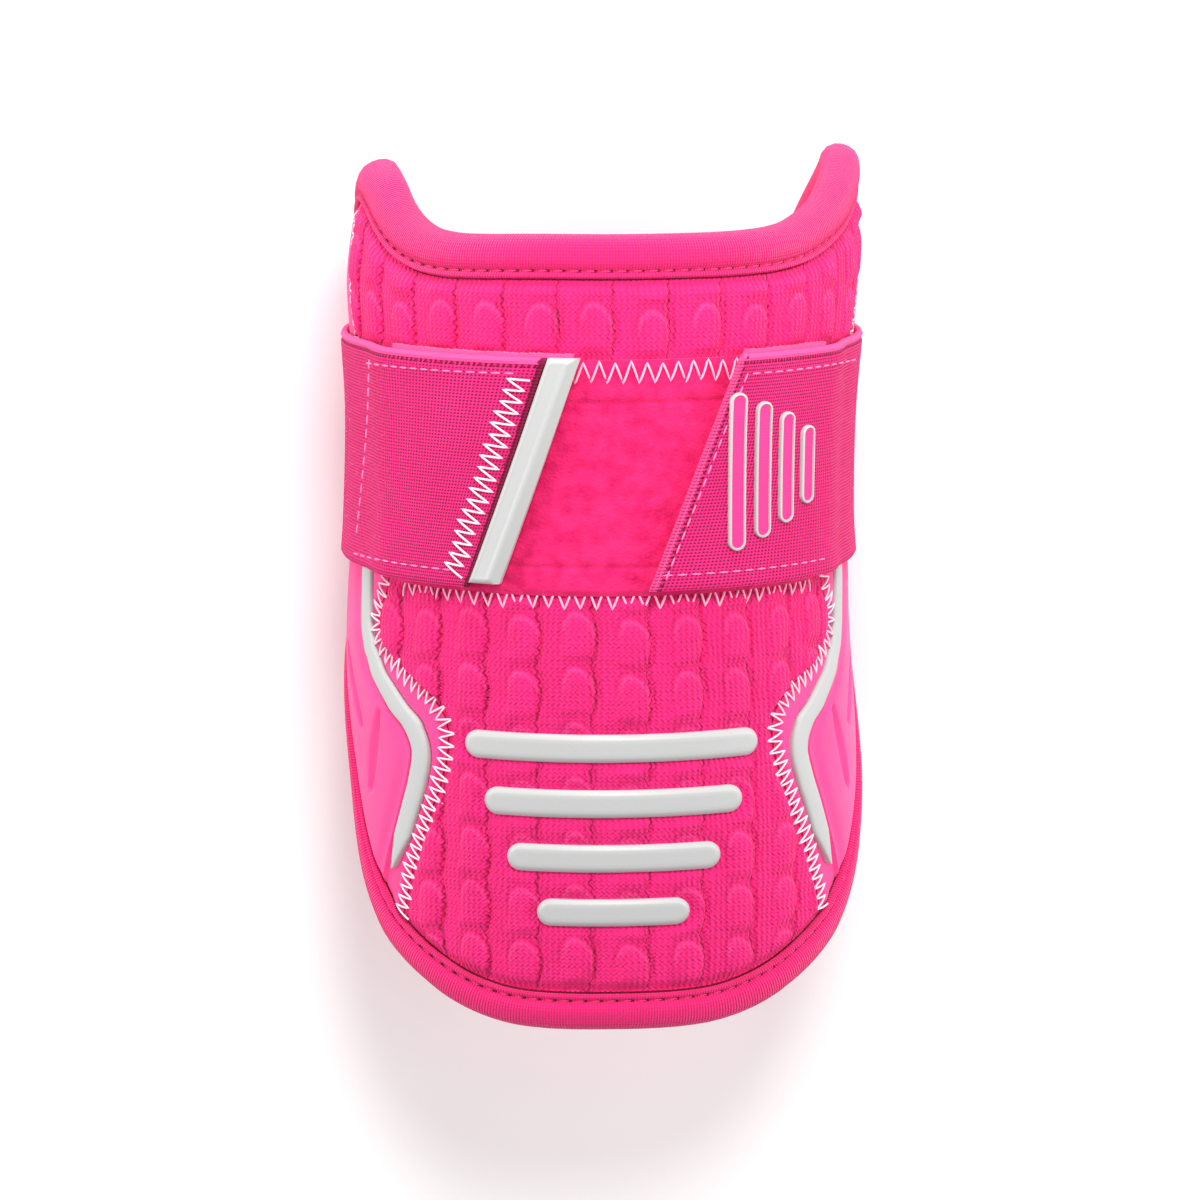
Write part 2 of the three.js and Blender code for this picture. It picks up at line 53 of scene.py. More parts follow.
STRAP_MIDDLE = STRAP_LOW + STRAP_WIDTH / 2
WRAP_TURN = 131
BACK_DEPTH = 0.056
AXIS_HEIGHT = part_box("foam_shell")[0].z - BACK_DEPTH * math.cos(math.radians(WRAP_TURN))
PICTURE_MIDDLE = 0.0884
CAMERA_DISTANCE = 1.3
CAMERA_LIFT = math.radians(9)
CAMERA_TURN = math.radians(2.9)
LENS = 173.46

camera_data = bpy.data.cameras.new("camera")
camera_data.lens = LENS
camera_data.clip_end = 20
camera = bpy.data.objects.new("camera", camera_data)
bpy.context.scene.collection.objects.link(camera)
camera_right = Vector((math.cos(CAMERA_TURN), 0, math.sin(CAMERA_TURN)))
camera_back = Vector((
    -math.sin(CAMERA_TURN) * math.cos(CAMERA_LIFT),
    math.sin(CAMERA_LIFT),
    math.cos(CAMERA_TURN) * math.cos(CAMERA_LIFT),
))
camera_up = camera_back.cross(camera_right)
camera_place = Vector((0, PICTURE_MIDDLE - STRAP_MIDDLE, AXIS_HEIGHT)) + CAMERA_DISTANCE * camera_back
camera_turned = Matrix((camera_right, camera_up, camera_back)).transposed().to_4x4()
camera.matrix_world = Matrix.Translation(camera_place) @ camera_turned
bpy.context.scene.camera = camera

# Floor and studio light
# A plain pale floor, one soft light high over the guard's upper end and a lower one beyond it,
# and one at each side that brightens the turned-away cloth.
FLOOR_REACH = 3.0
FLOOR_TONE = 0.93
SKY_STRENGTH = 0.55

floor_mesh = bpy.data.meshes.new("floor")
floor_mesh.from_pydata(
    [(x * FLOOR_REACH, y * FLOOR_REACH, 0) for x, y in ((-1, -1), (1, -1), (1, 1), (-1, 1))],
    [],
    [(0, 1, 2, 3)],
)
floor = bpy.data.objects.new("floor", floor_mesh)
bpy.context.scene.collection.objects.link(floor)
floor_material = bpy.data.materials.new("pale_floor")
floor_material.use_nodes = True
floor_shader = floor_material.node_tree.nodes["Principled BSDF"]
floor_shader.inputs["Base Color"].default_value = (FLOOR_TONE, FLOOR_TONE, FLOOR_TONE, 1)
floor_shader.inputs["Roughness"].default_value = 0.9
floor_mesh.materials.append(floor_material)


def soft_light(name, place, size, power):
    data = bpy.data.lights.new(name, "AREA")
    data.shape = "DISK"
    data.size = size
    data.energy = power
    light = bpy.data.objects.new(name, data)
    light.location = place
    light.rotation_euler = (-Vector(place)).to_track_quat("-Z", "Y").to_euler()
    bpy.context.scene.collection.objects.link(light)


soft_light("upper_light", (0.1, 0.75, 1.12), 0.45, 11.5)
soft_light("end_light", (-0.1, 1.3, 0.42), 0.5, 8)
soft_light("left_light", (-1.1, 0.2, 0.5), 0.6, 6)
soft_light("right_light", (1.1, 0.2, 0.5), 0.6, 6)
world = bpy.data.worlds.new("studio")
world.use_nodes = True
world.node_tree.nodes["Background"].inputs["Color"].default_value = (1, 1, 1, 1)
world.node_tree.nodes["Background"].inputs["Strength"].default_value = SKY_STRENGTH
bpy.context.scene.world = world
bpy.context.scene.view_settings.view_transform = "Standard"

# Foam shell
# The padded half sleeve that everything is sewn to: a bent sheet of foam, round across and a
# little bowed along the arm. The other pieces take their places from its outer face.
HALF_WIDTH = 0.0545
FACE_DEPTH = 0.055
FULLEST_HEIGHT = 0.100
FACE_DROP_TOP = 0.006
FACE_DROP_TIP = 0.012
HORN_RISE_LEFT = 0.013
HORN_RISE_RIGHT = 0.0166
BACK_FALL = 0.035
BACK_EDGE_LOW = 0.109
SEAT = 0.0003
COVER_GAP = 0.0007
SHELL_WALL = 0.004
TURN_PER_METRE = math.degrees(1 / HALF_WIDTH)


def table(columns, *rows):
    """A table's columns by name, as arrays."""
    return dict(zip(columns, np.array(rows).T))


RIM_SHAPE = table(
    ("turn", "low", "left", "right", "fall"),
    (0.0, 0.01, 0.0, 0.0, 0.0),
    (0.12, 0.011, 0.0, 0.0, 0.0),
    (0.205, 0.021, -0.02, 0.0, 0.0),
    (0.29, 0.05, -0.04, 0.02, 0.0),
    (0.35, 0.081, 0.0, 0.07, 0.0),
    (0.41, 0.117, 0.15, 0.19, 0.0),
    (0.475, 0.162, 0.46, 0.36, 0.0),
    (0.535, 0.224, 0.77, 0.57, 0.0),
    (0.595, 0.31, 0.95, 0.77, 0.0),
    (0.65, 0.423, 1.0, 0.92, 0.0),
    (0.69, 0.532, 1.0, 1.0, 0.03),
    (0.735, 0.642, 1.0, 1.0, 0.1),
    (0.795, 0.73, 1.0, 1.0, 0.22),
    (0.855, 0.789, 1.0, 1.0, 0.38),
    (0.915, 0.844, 1.0, 1.0, 0.61),
    (0.97, 0.913, 1.0, 1.0, 0.86),
    (1.0, 1.0, 1.0, 1.0, 1.0),
)
SIDE_LEAN = table(
    ("up", "left", "right"),
    (0.0, -0.02, 0.04),
    (0.27, -0.012, 0.034),
    (0.4, 0.004, 0.004),
    (0.49, 0.002, -0.016),
    (0.56, -0.01, -0.022),
    (0.63, -0.024, -0.036),
    (0.76, -0.034, -0.03),
    (0.86, -0.018, -0.004),
    (0.93, -0.008, 0.014),
    (1.0, -0.032, 0.012),
    (1.09, -0.08, 0.006),
)


def smooth(value):
    share = np.clip(value, 0, 1)
    return share * share * (3 - 2 * share)


def read_smooth(shape, key, at, column):
    """One column of a table at places along another, on a smooth curve through its rows."""
    keys, values = shape[key], shape[column]
    before = np.maximum(np.arange(len(keys)) - 1, 0)
    after = np.minimum(np.arange(len(keys)) + 1, len(keys) - 1)
    slopes = (values[after] - values[before]) / (keys[after] - keys[before])
    place = np.clip(at, keys[0], keys[-1])
    row = np.clip(np.searchsorted(keys, place) - 1, 0, len(keys) - 2)
    span = keys[row + 1] - keys[row]
    share = (place - keys[row]) / span
    start_pull = slopes[row] * span * share * (1 - share) ** 2
    end_pull = slopes[row + 1] * span * share**2 * (1 - share)
    return values[row] + (values[row + 1] - values[row]) * smooth(share) + start_pull - end_pull


def on_guard(turn, height, lift):
    """Points of the guard from turns in degrees, heights and lifts off the shell, in metres."""
    turn, height, lift = np.broadcast_arrays(*(np.asarray(x, float) for x in (turn, height, lift)))
    up = height / GUARD_LENGTH
    lean = np.where(
        turn < 0,
        read_smooth(SIDE_LEAN, "up", up, "left"),
        read_smooth(SIDE_LEAN, "up", up, "right"),
    )
    above = np.maximum(height - FULLEST_HEIGHT, 0) / (GUARD_LENGTH - FULLEST_HEIGHT)
    below = np.maximum(FULLEST_HEIGHT - height, 0) / FULLEST_HEIGHT
    face = FACE_DEPTH - FACE_DROP_TOP * above**2 - FACE_DROP_TIP * below**2
    deep = np.where(np.abs(turn) < 90, face, BACK_DEPTH) + lift
    wide = HALF_WIDTH * (1 + lean) + lift
    angle = np.radians(turn)
    return np.stack([
        wide * np.sin(angle),
        height - STRAP_MIDDLE,
        AXIS_HEIGHT + deep * np.cos(angle),
    ], -1)


def colour(red, green, blue):
    linear = [((x / 255 + 0.055) / 1.055) ** 2.4 for x in (red, green, blue)]
    return (*linear, 1)


def new_finish(name, base, roughness, sheen=0.0):
    """A material and its node tree."""
    made = bpy.data.materials.new(name)
    made.use_nodes = True
    inputs = made.node_tree.nodes["Principled BSDF"].inputs
    inputs["Base Color"].default_value = base
    inputs["Roughness"].default_value = roughness
    inputs["Specular IOR Level"].default_value = 0.25
    inputs["Sheen Weight"].default_value = sheen
    inputs["Sheen Roughness"].default_value = 0.45
    inputs["Sheen Tint"].default_value = (1.0, 0.62, 0.78, 1)
    return made, made.node_tree


class Value:
    """A number in a node tree, with the arithmetic of a plain one."""

    def __init__(self, tree, socket):
        self.tree = tree
        self.socket = socket

    def step(self, operation, *others):
        return step(self.tree, operation, self, *others)

    def __add__(self, other):
        return self.step("ADD", other)

    def __sub__(self, other):
        return self.step("SUBTRACT", other)

    def __rsub__(self, other):
        return step(self.tree, "SUBTRACT", other, self)

    def __mul__(self, other):
        return self.step("MULTIPLY", other)

    def __truediv__(self, other):
        return self.step("DIVIDE", other)

    def __mod__(self, other):
        return self.step("MODULO", other)

    def __pow__(self, other):
        return self.step("POWER", other)

    def __lt__(self, other):
        return self.step("LESS_THAN", other)

    def __gt__(self, other):
        return self.step("GREATER_THAN", other)

    def __abs__(self):
        return self.step("ABSOLUTE")

    def least(self, other):
        return self.step("MINIMUM", other)

    def most(self, other):
        return self.step("MAXIMUM", other)


def feed(tree, socket, value):
    if isinstance(value, Value):
        value = value.socket
    if isinstance(value, bpy.types.NodeSocket):
        tree.links.new(value, socket)
    else:
        socket.default_value = value


def step(tree, operation, *values):
    """A math node's result."""
    node = tree.nodes.new("ShaderNodeMath")
    node.operation = operation
    for socket, value in zip(node.inputs, values):
        feed(tree, socket, value)
    return Value(tree, node.outputs[0])


def cloudy(tree, scale, detail=3.0):
    """Noise on the piece's own coordinates, between about 0.3 and 0.7."""
    coordinates = tree.nodes.new("ShaderNodeTexCoord")
    node = tree.nodes.new("ShaderNodeTexNoise")
    node.inputs["Scale"].default_value = scale
    node.inputs["Detail"].default_value = detail
    tree.links.new(coordinates.outputs["Object"], node.inputs["Vector"])
    return Value(tree, node.outputs["Fac"])


def raise_surface(tree, height, distance):
    node = tree.nodes.new("ShaderNodeBump")
    node.inputs["Distance"].default_value = distance
    feed(tree, node.inputs["Height"], height)
    tree.links.new(node.outputs["Normal"], tree.nodes["Principled BSDF"].inputs["Normal"])


foam_finish, tree = new_finish("foam_cloth", colour(240, 64, 132), 0.9, 0.3)
raise_surface(tree, cloudy(tree, 900), 0.0002)
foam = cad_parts["foam_shell"]
foam.data.materials.clear()
foam.data.materials.append(foam_finish)

# Rim of the shell
# The edge runs down from the two horns, along the back edges and round the lower tip. Every
# sewn edge is a line moved in from it.
RIM_COLUMNS = 19
RIM_ROWS = 10
RIM_CROWDING = 0.06
RIM_PARTS = 8


def rim_low(turn):
    return BACK_EDGE_LOW * read_smooth(RIM_SHAPE, "turn", np.abs(turn) / WRAP_TURN, "low")


def rim_high(turn):
    share = np.abs(turn) / WRAP_TURN
    left = HORN_RISE_LEFT * read_smooth(RIM_SHAPE, "turn", share, "left")
    right = HORN_RISE_RIGHT * read_smooth(RIM_SHAPE, "turn", share, "right")
    fall = BACK_FALL * read_smooth(RIM_SHAPE, "turn", share, "fall")
    return GUARD_LENGTH + np.where(turn < 0, left, right) - fall


rim_share = np.arange(-RIM_COLUMNS, RIM_COLUMNS + 1) / RIM_COLUMNS
rim_turns = WRAP_TURN * (rim_share + RIM_CROWDING * np.sin(math.pi * rim_share))


def back_edge(turn):
    share = np.arange(1, RIM_ROWS) / RIM_ROWS
    height = rim_low(turn) + (rim_high(turn) - rim_low(turn)) * share
    return np.stack([np.full(len(share), turn / TURN_PER_METRE), height], -1)


rim_path = np.concatenate([
    np.stack([rim_turns / TURN_PER_METRE, rim_low(rim_turns)], -1),
    back_edge(WRAP_TURN),
    np.stack([-rim_turns / TURN_PER_METRE, rim_high(-rim_turns)], -1),
    back_edge(-WRAP_TURN)[::-1],
])


def rim_inset(distance):
    """The rim as (across, height) points moved in by a distance, on a smooth closed line."""
    arriving = rim_path - np.roll(rim_path, 1, 0)
    leaving = np.roll(rim_path, -1, 0) - rim_path
    arriving /= np.linalg.norm(arriving, axis=1, keepdims=True)
    leaving /= np.linalg.norm(leaving, axis=1, keepdims=True)
    along = arriving + leaving
    along /= np.linalg.norm(along, axis=1, keepdims=True)
    inward = np.stack([-along[:, 1], along[:, 0]], -1)
    here = rim_path + inward * (distance / np.sum(along * leaving, 1))[:, None]
    before, after, far = np.roll(here, 1, 0), np.roll(here, -1, 0), np.roll(here, -2, 0)
    parts = []
    for t in np.arange(RIM_PARTS) / RIM_PARTS:
        bend = (2 * before - 5 * here + 4 * after - far) * t**2
        twist = (3 * here - before - 3 * after + far) * t**3
        parts.append(here + 0.5 * ((after - before) * t + bend + twist))
    return np.stack(parts, 1).reshape(-1, 2)


# Knit panel
# The face is a padded mesh knit: puffed cells stand in columns between narrow furrows, painted
# dark as shade, over a fine chevron knit. It is sewn down along both seams and under the rim's tape.
BINDING_SHOW = 0.0072
SEAM_GAP = 0.0005
KNIT_WALL = 0.0015
KNIT_OVER = COVER_GAP + KNIT_WALL
SEAM_SHAPE = table(
    ("up", "seam", "strip"),
    (0.0, 0.42, 0.48),
    (0.025, 0.412, 0.464),
    (0.08, 0.392, 0.441),
    (0.127, 0.369, 0.417),
    (0.174, 0.344, 0.394),
    (0.224, 0.318, 0.371),
    (0.271, 0.301, 0.36),
    (0.308, 0.298, 0.379),
    (0.336, 0.309, 0.418),
    (0.362, 0.34, 0.453),
    (0.38, 0.378, 0.476),
    (0.398, 0.42, 0.492),
    (0.42, 0.46, 0.511),
    (0.449, 0.485, 0.524),
    (0.478, 0.484, 0.528),
    (0.51, 0.462, 0.531),
    (0.561, 0.462, 0.538),
    (0.655, 0.5, 0.572),
    (0.756, 0.55, 0.618),
    (0.865, 0.599, 0.664),
    (0.937, 0.634, 0.695),
    (1.0, 0.656, 0.718),
)
CELL_WIDTH = 0.0116
CELL_HEIGHT = 0.0122
CELL_PUFF = 0.0011
FURROW_DEPTH = 0.0005
FURROW_HALF = 0.0005
FOOT_BELOW = 0.1555
FOOT_ABOVE = 0.0057
CELL_SHIFT = 0.0045
CELL_BOW = 0.0011
DOME_MIDDLE = 0.68
DOME_HALF = 0.30
DOME_SHOULDER = 0.52
DOME_RISE = 0.44
FACE_BARS = 4
FACE_BAR_LENGTH = 0.064
FACE_BAR_WIDTH = 0.0062
FACE_BAR_PITCH = 0.0124
FACE_BAR_LOWEST = 0.0275


def rim_halves(distance):
    """The rim's lower and upper lines, from left to right, moved in by a distance."""
    moved = rim_inset(distance)
    count = 2 * RIM_COLUMNS * RIM_PARTS + 1
    start = (2 * RIM_COLUMNS + RIM_ROWS) * RIM_PARTS
    return moved[:count], moved[start: start + count][::-1]


panel_low, panel_high = rim_halves(BINDING_SHOW + SEAM_GAP)
panel_end_turn = panel_low[-1, 0] * TURN_PER_METRE


def low_at(turn):
    return np.interp(np.asarray(turn) / TURN_PER_METRE, panel_low[:, 0], panel_low[:, 1])


def high_at(turn):
    return np.interp(np.asarray(turn) / TURN_PER_METRE, panel_high[:, 0], panel_high[:, 1])


panel_top = float(high_at(0))
foot_turn = SEAM_SHAPE["seam"][0] * WRAP_TURN
foot_height = float(low_at(foot_turn))


def seam_height(up):
    return foot_height + up * (panel_top - foot_height)


def seam_turn(up, column="seam"):
    return WRAP_TURN * read_smooth(SEAM_SHAPE, "up", up, column)


def row_height(height, turn):
    """Rows lie level on the lower half and bend up to the rim's curve at the top."""
    bend = smooth((height - STRAP_MIDDLE) / (panel_top - STRAP_MIDDLE))
    return height + bend * (high_at(turn) - panel_top)


def make_wall(name, over, under, stride=1, **maps):
    """A closed mesh between two grids of points, with a coarser grid on its hidden side."""
    rows, columns = over.shape[0] - 1, over.shape[1] - 1
    index = np.arange((rows + 1) * (columns + 1)).reshape(rows + 1, columns + 1)
    kept = np.zeros(index.shape, bool)
    kept[::stride, ::stride] = True
    kept[[0, -1], :] = True
    kept[:, [0, -1]] = True
    below = np.full(index.shape, -1)
    below[kept] = index.size + np.arange(kept.sum())
    points = np.concatenate([over.reshape(-1, 3), under[kept]])
    quads = np.stack([index[:-1, :-1], index[:-1, 1:], index[1:, 1:], index[1:, :-1]], -1)
    faces = quads.reshape(-1, 4).tolist()
    edge = [(0, i) for i in range(columns)] + [(j, columns) for j in range(rows)]
    edge += [(rows, i) for i in range(columns, 0, -1)] + [(j, 0) for j in range(rows, 0, -1)]
    for here, after in zip(edge, edge[1:] + edge[:1]):
        faces.append([int(index[after]), int(index[here]), int(below[here]), int(below[after])])

    def along(start, end, on_edge):
        count = max(abs(end[0] - start[0]), abs(end[1] - start[1])) if on_edge else 1
        for k in range(count):
            j = start[0] + (end[0] - start[0]) * k // count
            i = start[1] + (end[1] - start[1]) * k // count
            yield int(below[j, i])

    for j in range(0, rows, stride):
        for i in range(0, columns, stride):
            top, right = min(j + stride, rows), min(i + stride, columns)
            faces.append([
                *along((j, i), (top, i), i == 0),
                *along((top, i), (top, right), top == rows),
                *along((top, right), (j, right), right == columns),
                *along((j, right), (j, i), j == 0),
            ])
    mesh = bpy.data.meshes.new(name)
    mesh.from_pydata(points.tolist(), [], faces)
    corners = np.empty(len(mesh.loops), int)
    mesh.loops.foreach_get("vertex_index", corners)
    for map_name, axes in maps.items():
        layer = mesh.uv_layers.new(name=map_name)
        values = np.stack(axes, -1)
        flat = np.concatenate([values.reshape(-1, 2), values[kept]])
        layer.data.foreach_set("uv", flat[corners].astype(np.float32).ravel())
    return finish_mesh(mesh)


def finish_mesh(mesh, sharp=55):
    mesh.polygons.foreach_set("use_smooth", np.ones(len(mesh.polygons), bool))
    mesh.set_sharp_from_angle(angle=math.radians(sharp))
    mesh.validate()
    mesh.update()
    return mesh


def add_piece(mesh, finishes, slot, *nodes):
    """An object for a finished mesh, on the guard's one body, in place of its CAD nodes."""
    piece = bpy.data.objects.new(mesh.name, mesh)
    bpy.context.scene.collection.objects.link(piece)
    for finish in finishes:
        mesh.materials.append(finish)
    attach(piece, "root")
    if nodes:
        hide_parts(*nodes)
    return piece


def bar_distance(across, height):
    """How far a place on the face lies outside the nearest plain bar."""
    nearest = np.full(np.shape(across), 1.0)
    for index in range(FACE_BARS):
        straight = FACE_BAR_LENGTH * math.sqrt((index + 1) / FACE_BARS) / 2 - FACE_BAR_WIDTH / 2
        beside = np.maximum(np.abs(across) - straight, 0)
        level = height - FACE_BAR_LOWEST - FACE_BAR_PITCH * index
        nearest = np.minimum(nearest, np.hypot(beside, level) - FACE_BAR_WIDTH / 2)
    return nearest


def cell_places(across, height):
    """Column and row of the knit's cells: whole numbers are the furrows and the rows' feet."""
    lower = smooth((0.125 - height) / 0.02)
    foot = FOOT_BELOW + FOOT_ABOVE * smooth((height - 0.12) / 0.02)
    waves = 0.0006 * np.sin(across * 90) + 0.0007 * np.sin(across * 233)
    row = (height - foot + waves) / CELL_HEIGHT
    bow = CELL_BOW * np.abs(np.sin(math.pi * row)) * (0.35 + 0.65 * lower)
    column = (across + CELL_SHIFT * lower - bow) / CELL_WIDTH
    return column, row


def knit_relief(column, row, across, height):
    beside = column - np.floor(column)
    up = row - np.floor(row)
    broad = np.sin(math.pi * beside) ** 0.7
    left_of = (beside - DOME_MIDDLE) / DOME_HALF
    round_top = np.maximum(up - DOME_SHOULDER, 0) / DOME_RISE
    dome = np.sqrt(np.clip(1 - left_of**2 - round_top**2, 0, 1)) * smooth(up / 0.2)
    furrow = np.exp(-((np.minimum(beside, 1 - beside) * CELL_WIDTH / FURROW_HALF) ** 2))
    relief = CELL_PUFF * (0.35 * broad + 0.8 * dome) - FURROW_DEPTH * furrow
    pucker = np.exp(-((across / 0.010) ** 2) - ((height - 0.0705) / 0.009) ** 2)
    relief += 0.00016 * pucker * np.sin(2 * math.pi * across / 0.0019)
    under_strap = smooth((height - 0.0955) / 0.003) * smooth((0.1515 - height) / 0.003)
    pressed = smooth(bar_distance(across, height) / 0.003)
    return relief * (1 - under_strap) * pressed - 0.0002 * (1 - pressed)


TIP_ROWS = 56
KNIT_ROWS = 220
KNIT_COLUMNS = 320
tip_share = np.linspace(0.12, 1, TIP_ROWS)
upper_up = np.linspace(0, 1, KNIT_ROWS + 1)[1:]
upper_heights = foot_height + upper_up * (panel_top - foot_height)
row_heights = np.concatenate([low_at(tip_share * foot_turn), upper_heights])
row_halves = np.concatenate([
    tip_share * foot_turn,
    WRAP_TURN * read_smooth(SEAM_SHAPE, "up", upper_up, "seam"),
])
knit_turn = row_halves[:, None] * np.linspace(-1, 1, KNIT_COLUMNS + 1)[None, :]
knit_height = row_height(row_heights[:, None], knit_turn)
knit_across = knit_turn / TURN_PER_METRE
knit_edge = np.minimum(
    (row_halves[:, None] - np.abs(knit_turn)) / TURN_PER_METRE,
    np.minimum(knit_height - low_at(knit_turn), high_at(knit_turn) - knit_height),
)
knit_drop = 0.0011 * (1 - smooth(knit_edge / 0.0028))
column, row = cell_places(knit_across, knit_height)
relief = knit_relief(column, row, knit_across, knit_height)
knit_mesh = make_wall(
    "knit_face",
    on_guard(knit_turn, knit_height, KNIT_OVER + relief * smooth(knit_edge / 0.004) - knit_drop),
    on_guard(knit_turn, knit_height, COVER_GAP),
    stride=20,
    weave=(knit_across, knit_height),
    cells=(column, row),
)


def blend_colours(tree, share, first, second):
    node = tree.nodes.new("ShaderNodeMix")
    node.data_type = "RGBA"
    feed(tree, node.inputs[0], share)
    feed(tree, node.inputs[6], first)
    feed(tree, node.inputs[7], second)
    return node.outputs[2]


def paint(tree, share, first, second):
    """Colours the cloth between two colours, by a share that varies over it."""
    mixed = blend_colours(tree, share, first, second)
    tree.links.new(mixed, tree.nodes["Principled BSDF"].inputs["Base Color"])


def map_axes(tree, name):
    """The two axes of one of the piece's own maps."""
    source = tree.nodes.new("ShaderNodeUVMap")
    source.uv_map = name
    split = tree.nodes.new("ShaderNodeSeparateXYZ")
    tree.links.new(source.outputs["UV"], split.inputs[0])
    return Value(tree, split.outputs[0]), Value(tree, split.outputs[1])


def stripes(axis, pitch, shift=0.0):
    """A wave from -1 to 1 along an axis."""
    return (axis * (2 * math.pi / pitch) + shift).step("SINE")


KNIT_COURSE = 0.0009
KNIT_RIB = 0.0011
KNIT_WALE = 0.00125
knit_finish, tree = new_finish("mesh_knit", colour(255, 46, 132), 0.85, 0.1)
across, height = map_axes(tree, "weave")
column, row = map_axes(tree, "cells")
wobble = stripes(height, 0.0021) * 0.018 + cloudy(tree, 260, 1) * 0.05
aside = (column + wobble).step("PINGPONG", 0.5)
main_line = (1.0 - aside / 0.024).step("SMOOTH_MAX", 0.0, 0.2)
side_line = (1.0 - abs(aside - 0.085) / 0.02).most(0.0) * (stripes(height, 0.019) > 0.1)
furrows = (main_line + side_line * 0.5).least(1.0)
slanted = height + across.step("PINGPONG", KNIT_RIB / 2) * 1.1
knit = stripes(slanted, KNIT_COURSE) * 0.6 + stripes(across, KNIT_RIB) * 0.3
sway = cloudy(tree, 180, 2) * 0.0016 + stripes(height, 0.0016) * 0.00012
wales = stripes(across + sway, KNIT_WALE)
# Painted shade in the knit's troughs, where the wales and courses run low.
knit_trough_shade = (wales * -1.0 - 0.35).most(0.0) * cloudy(tree, 140, 2) + (knit < -0.45) * 0.16
up = row.step("FRACT")
left_of = (DOME_MIDDLE - column.step("FRACT")) / DOME_HALF
round_top = (up - DOME_SHOULDER).most(0.0) / DOME_RISE
from_centre = left_of**2.0 + round_top**2.0
above_foot = ((up - 0.45) * 4.0).most(0.0).step("SMOOTH_MIN", 1.0, 0.2)
# Painted highlight along the upper edge of each puffed cell, and painted shade in a ring just outside
# it.
painted_crest_highlight = (1.0 - abs(from_centre - 0.78) / 0.28).most(0.0) * above_foot
painted_ditch_shade = (1.0 - abs(from_centre - 1.25) / 0.3).most(0.0) * above_foot
mottle = ((cloudy(tree, 90) - 0.5) * 0.5).most(0.0)
# Painted shade: the furrows, the knit's troughs and the ring round each cell darken the colour; the
# mottle is the cloth's own uneven tone.
shade_and_dark_marks = furrows * 0.7 + knit_trough_shade + mottle + painted_ditch_shade * 0.3
lit = blend_colours(tree, painted_crest_highlight * 0.32, colour(255, 40, 128), colour(255, 92, 162))
paint(tree, shade_and_dark_marks.least(1.0), lit, colour(190, 4, 82))
raise_surface(tree, knit * 0.4 + wales * 0.6 - furrows * 1.2, 0.00028)
knit_face = add_piece(knit_mesh, [knit_finish], "knit", "knit_panel")

# Side panels
# Heat-moulded cloth on both flanks, smooth, with a groove for the silver strip, a lowered
# margin along the seam and two long moulded dents behind the strip.
SIDE_WALL = 0.0016
SIDE_OVER = COVER_GAP + SIDE_WALL
MARGIN_DROP = 0.0004
STRIP_WIDTH = 0.005
STRIP_WALL = 0.001
STRIP_UNDER_STRAP = 0.006
GROOVE_FLOOR = SIDE_OVER - STRIP_WALL - SEAT
SIDE_ROWS = 240
SIDE_COLUMNS = 110
DENT_DEPTH = 0.0011
DENTS = table(
    ("turn", "height", "end_turn", "end_height", "width"),
    (62, 0.068, 68, 0.05, 0.0026),
    (84, 0.08, 72, 0.064, 0.0026),
)

low_half = panel_low[len(panel_low) // 2:]


def low_rim_turn(height):
    heights = np.maximum.accumulate(low_half[:, 1])
    return np.interp(height, heights, low_half[:, 0]) * TURN_PER_METRE




def strip_line(up):
    """Heights, turns and half widths of the silver strip, at shares of the seam's rise."""
    heights, middle = seam_height(up), seam_turn(up, "strip")
    slope = np.gradient(middle / TURN_PER_METRE, heights)
    return heights, middle, STRIP_WIDTH / 2 * np.hypot(1, slope)


side_up = np.linspace(0.006, 1, SIDE_ROWS + 1)
side_heights, strip_middle, strip_half = strip_line(side_up)
side_start = seam_turn(side_up) + SEAM_GAP * TURN_PER_METRE
side_end = np.minimum(low_rim_turn(side_heights), panel_end_turn)
side_end = np.maximum(side_end, side_start + 0.6)
side_share = np.linspace(0, 1, SIDE_COLUMNS + 1) ** 1.25


def side_lift(turn, height, edge):
    """Height of the moulded cloth over the shell, at turns without their sign."""
    beside = (turn - strip_middle[:, None]) / TURN_PER_METRE
    half = strip_half[:, None]
    level = side_heights[:, None]
    foot = smooth((level - foot_height - 0.0015) / 0.004)
    open_groove = foot * smooth((STRAP_LOW + STRIP_UNDER_STRAP - level) / 0.002)
    in_groove = smooth((half + 0.0009 - np.abs(beside)) / 0.0004)
    behind = np.exp(-(((beside - half - 0.0022) / 0.0022) ** 2))
    lift = SIDE_OVER - MARGIN_DROP * smooth(-beside / 0.004) - 0.0005 * behind * open_groove
    for start_turn, start_height, end_turn, end_height, wide in zip(*DENTS.values()):
        start = np.array([start_turn / TURN_PER_METRE, start_height])
        way = np.array([end_turn / TURN_PER_METRE, end_height]) - start
        place = np.stack([turn / TURN_PER_METRE, height], -1) - start
        share = np.clip(place @ way / (way @ way), 0, 1)
        off = np.linalg.norm(place - share[..., None] * way, axis=-1)
        width = wide * (0.25 + 0.75 * np.sin(math.pi * (0.15 + 0.8 * (1 - share))))
        lift = lift - DENT_DEPTH * smooth(1 - off / width)
    lift = lift + in_groove * open_groove * (GROOVE_FLOOR - lift)
    return lift - 0.0008 * (1 - smooth(edge / 0.002))


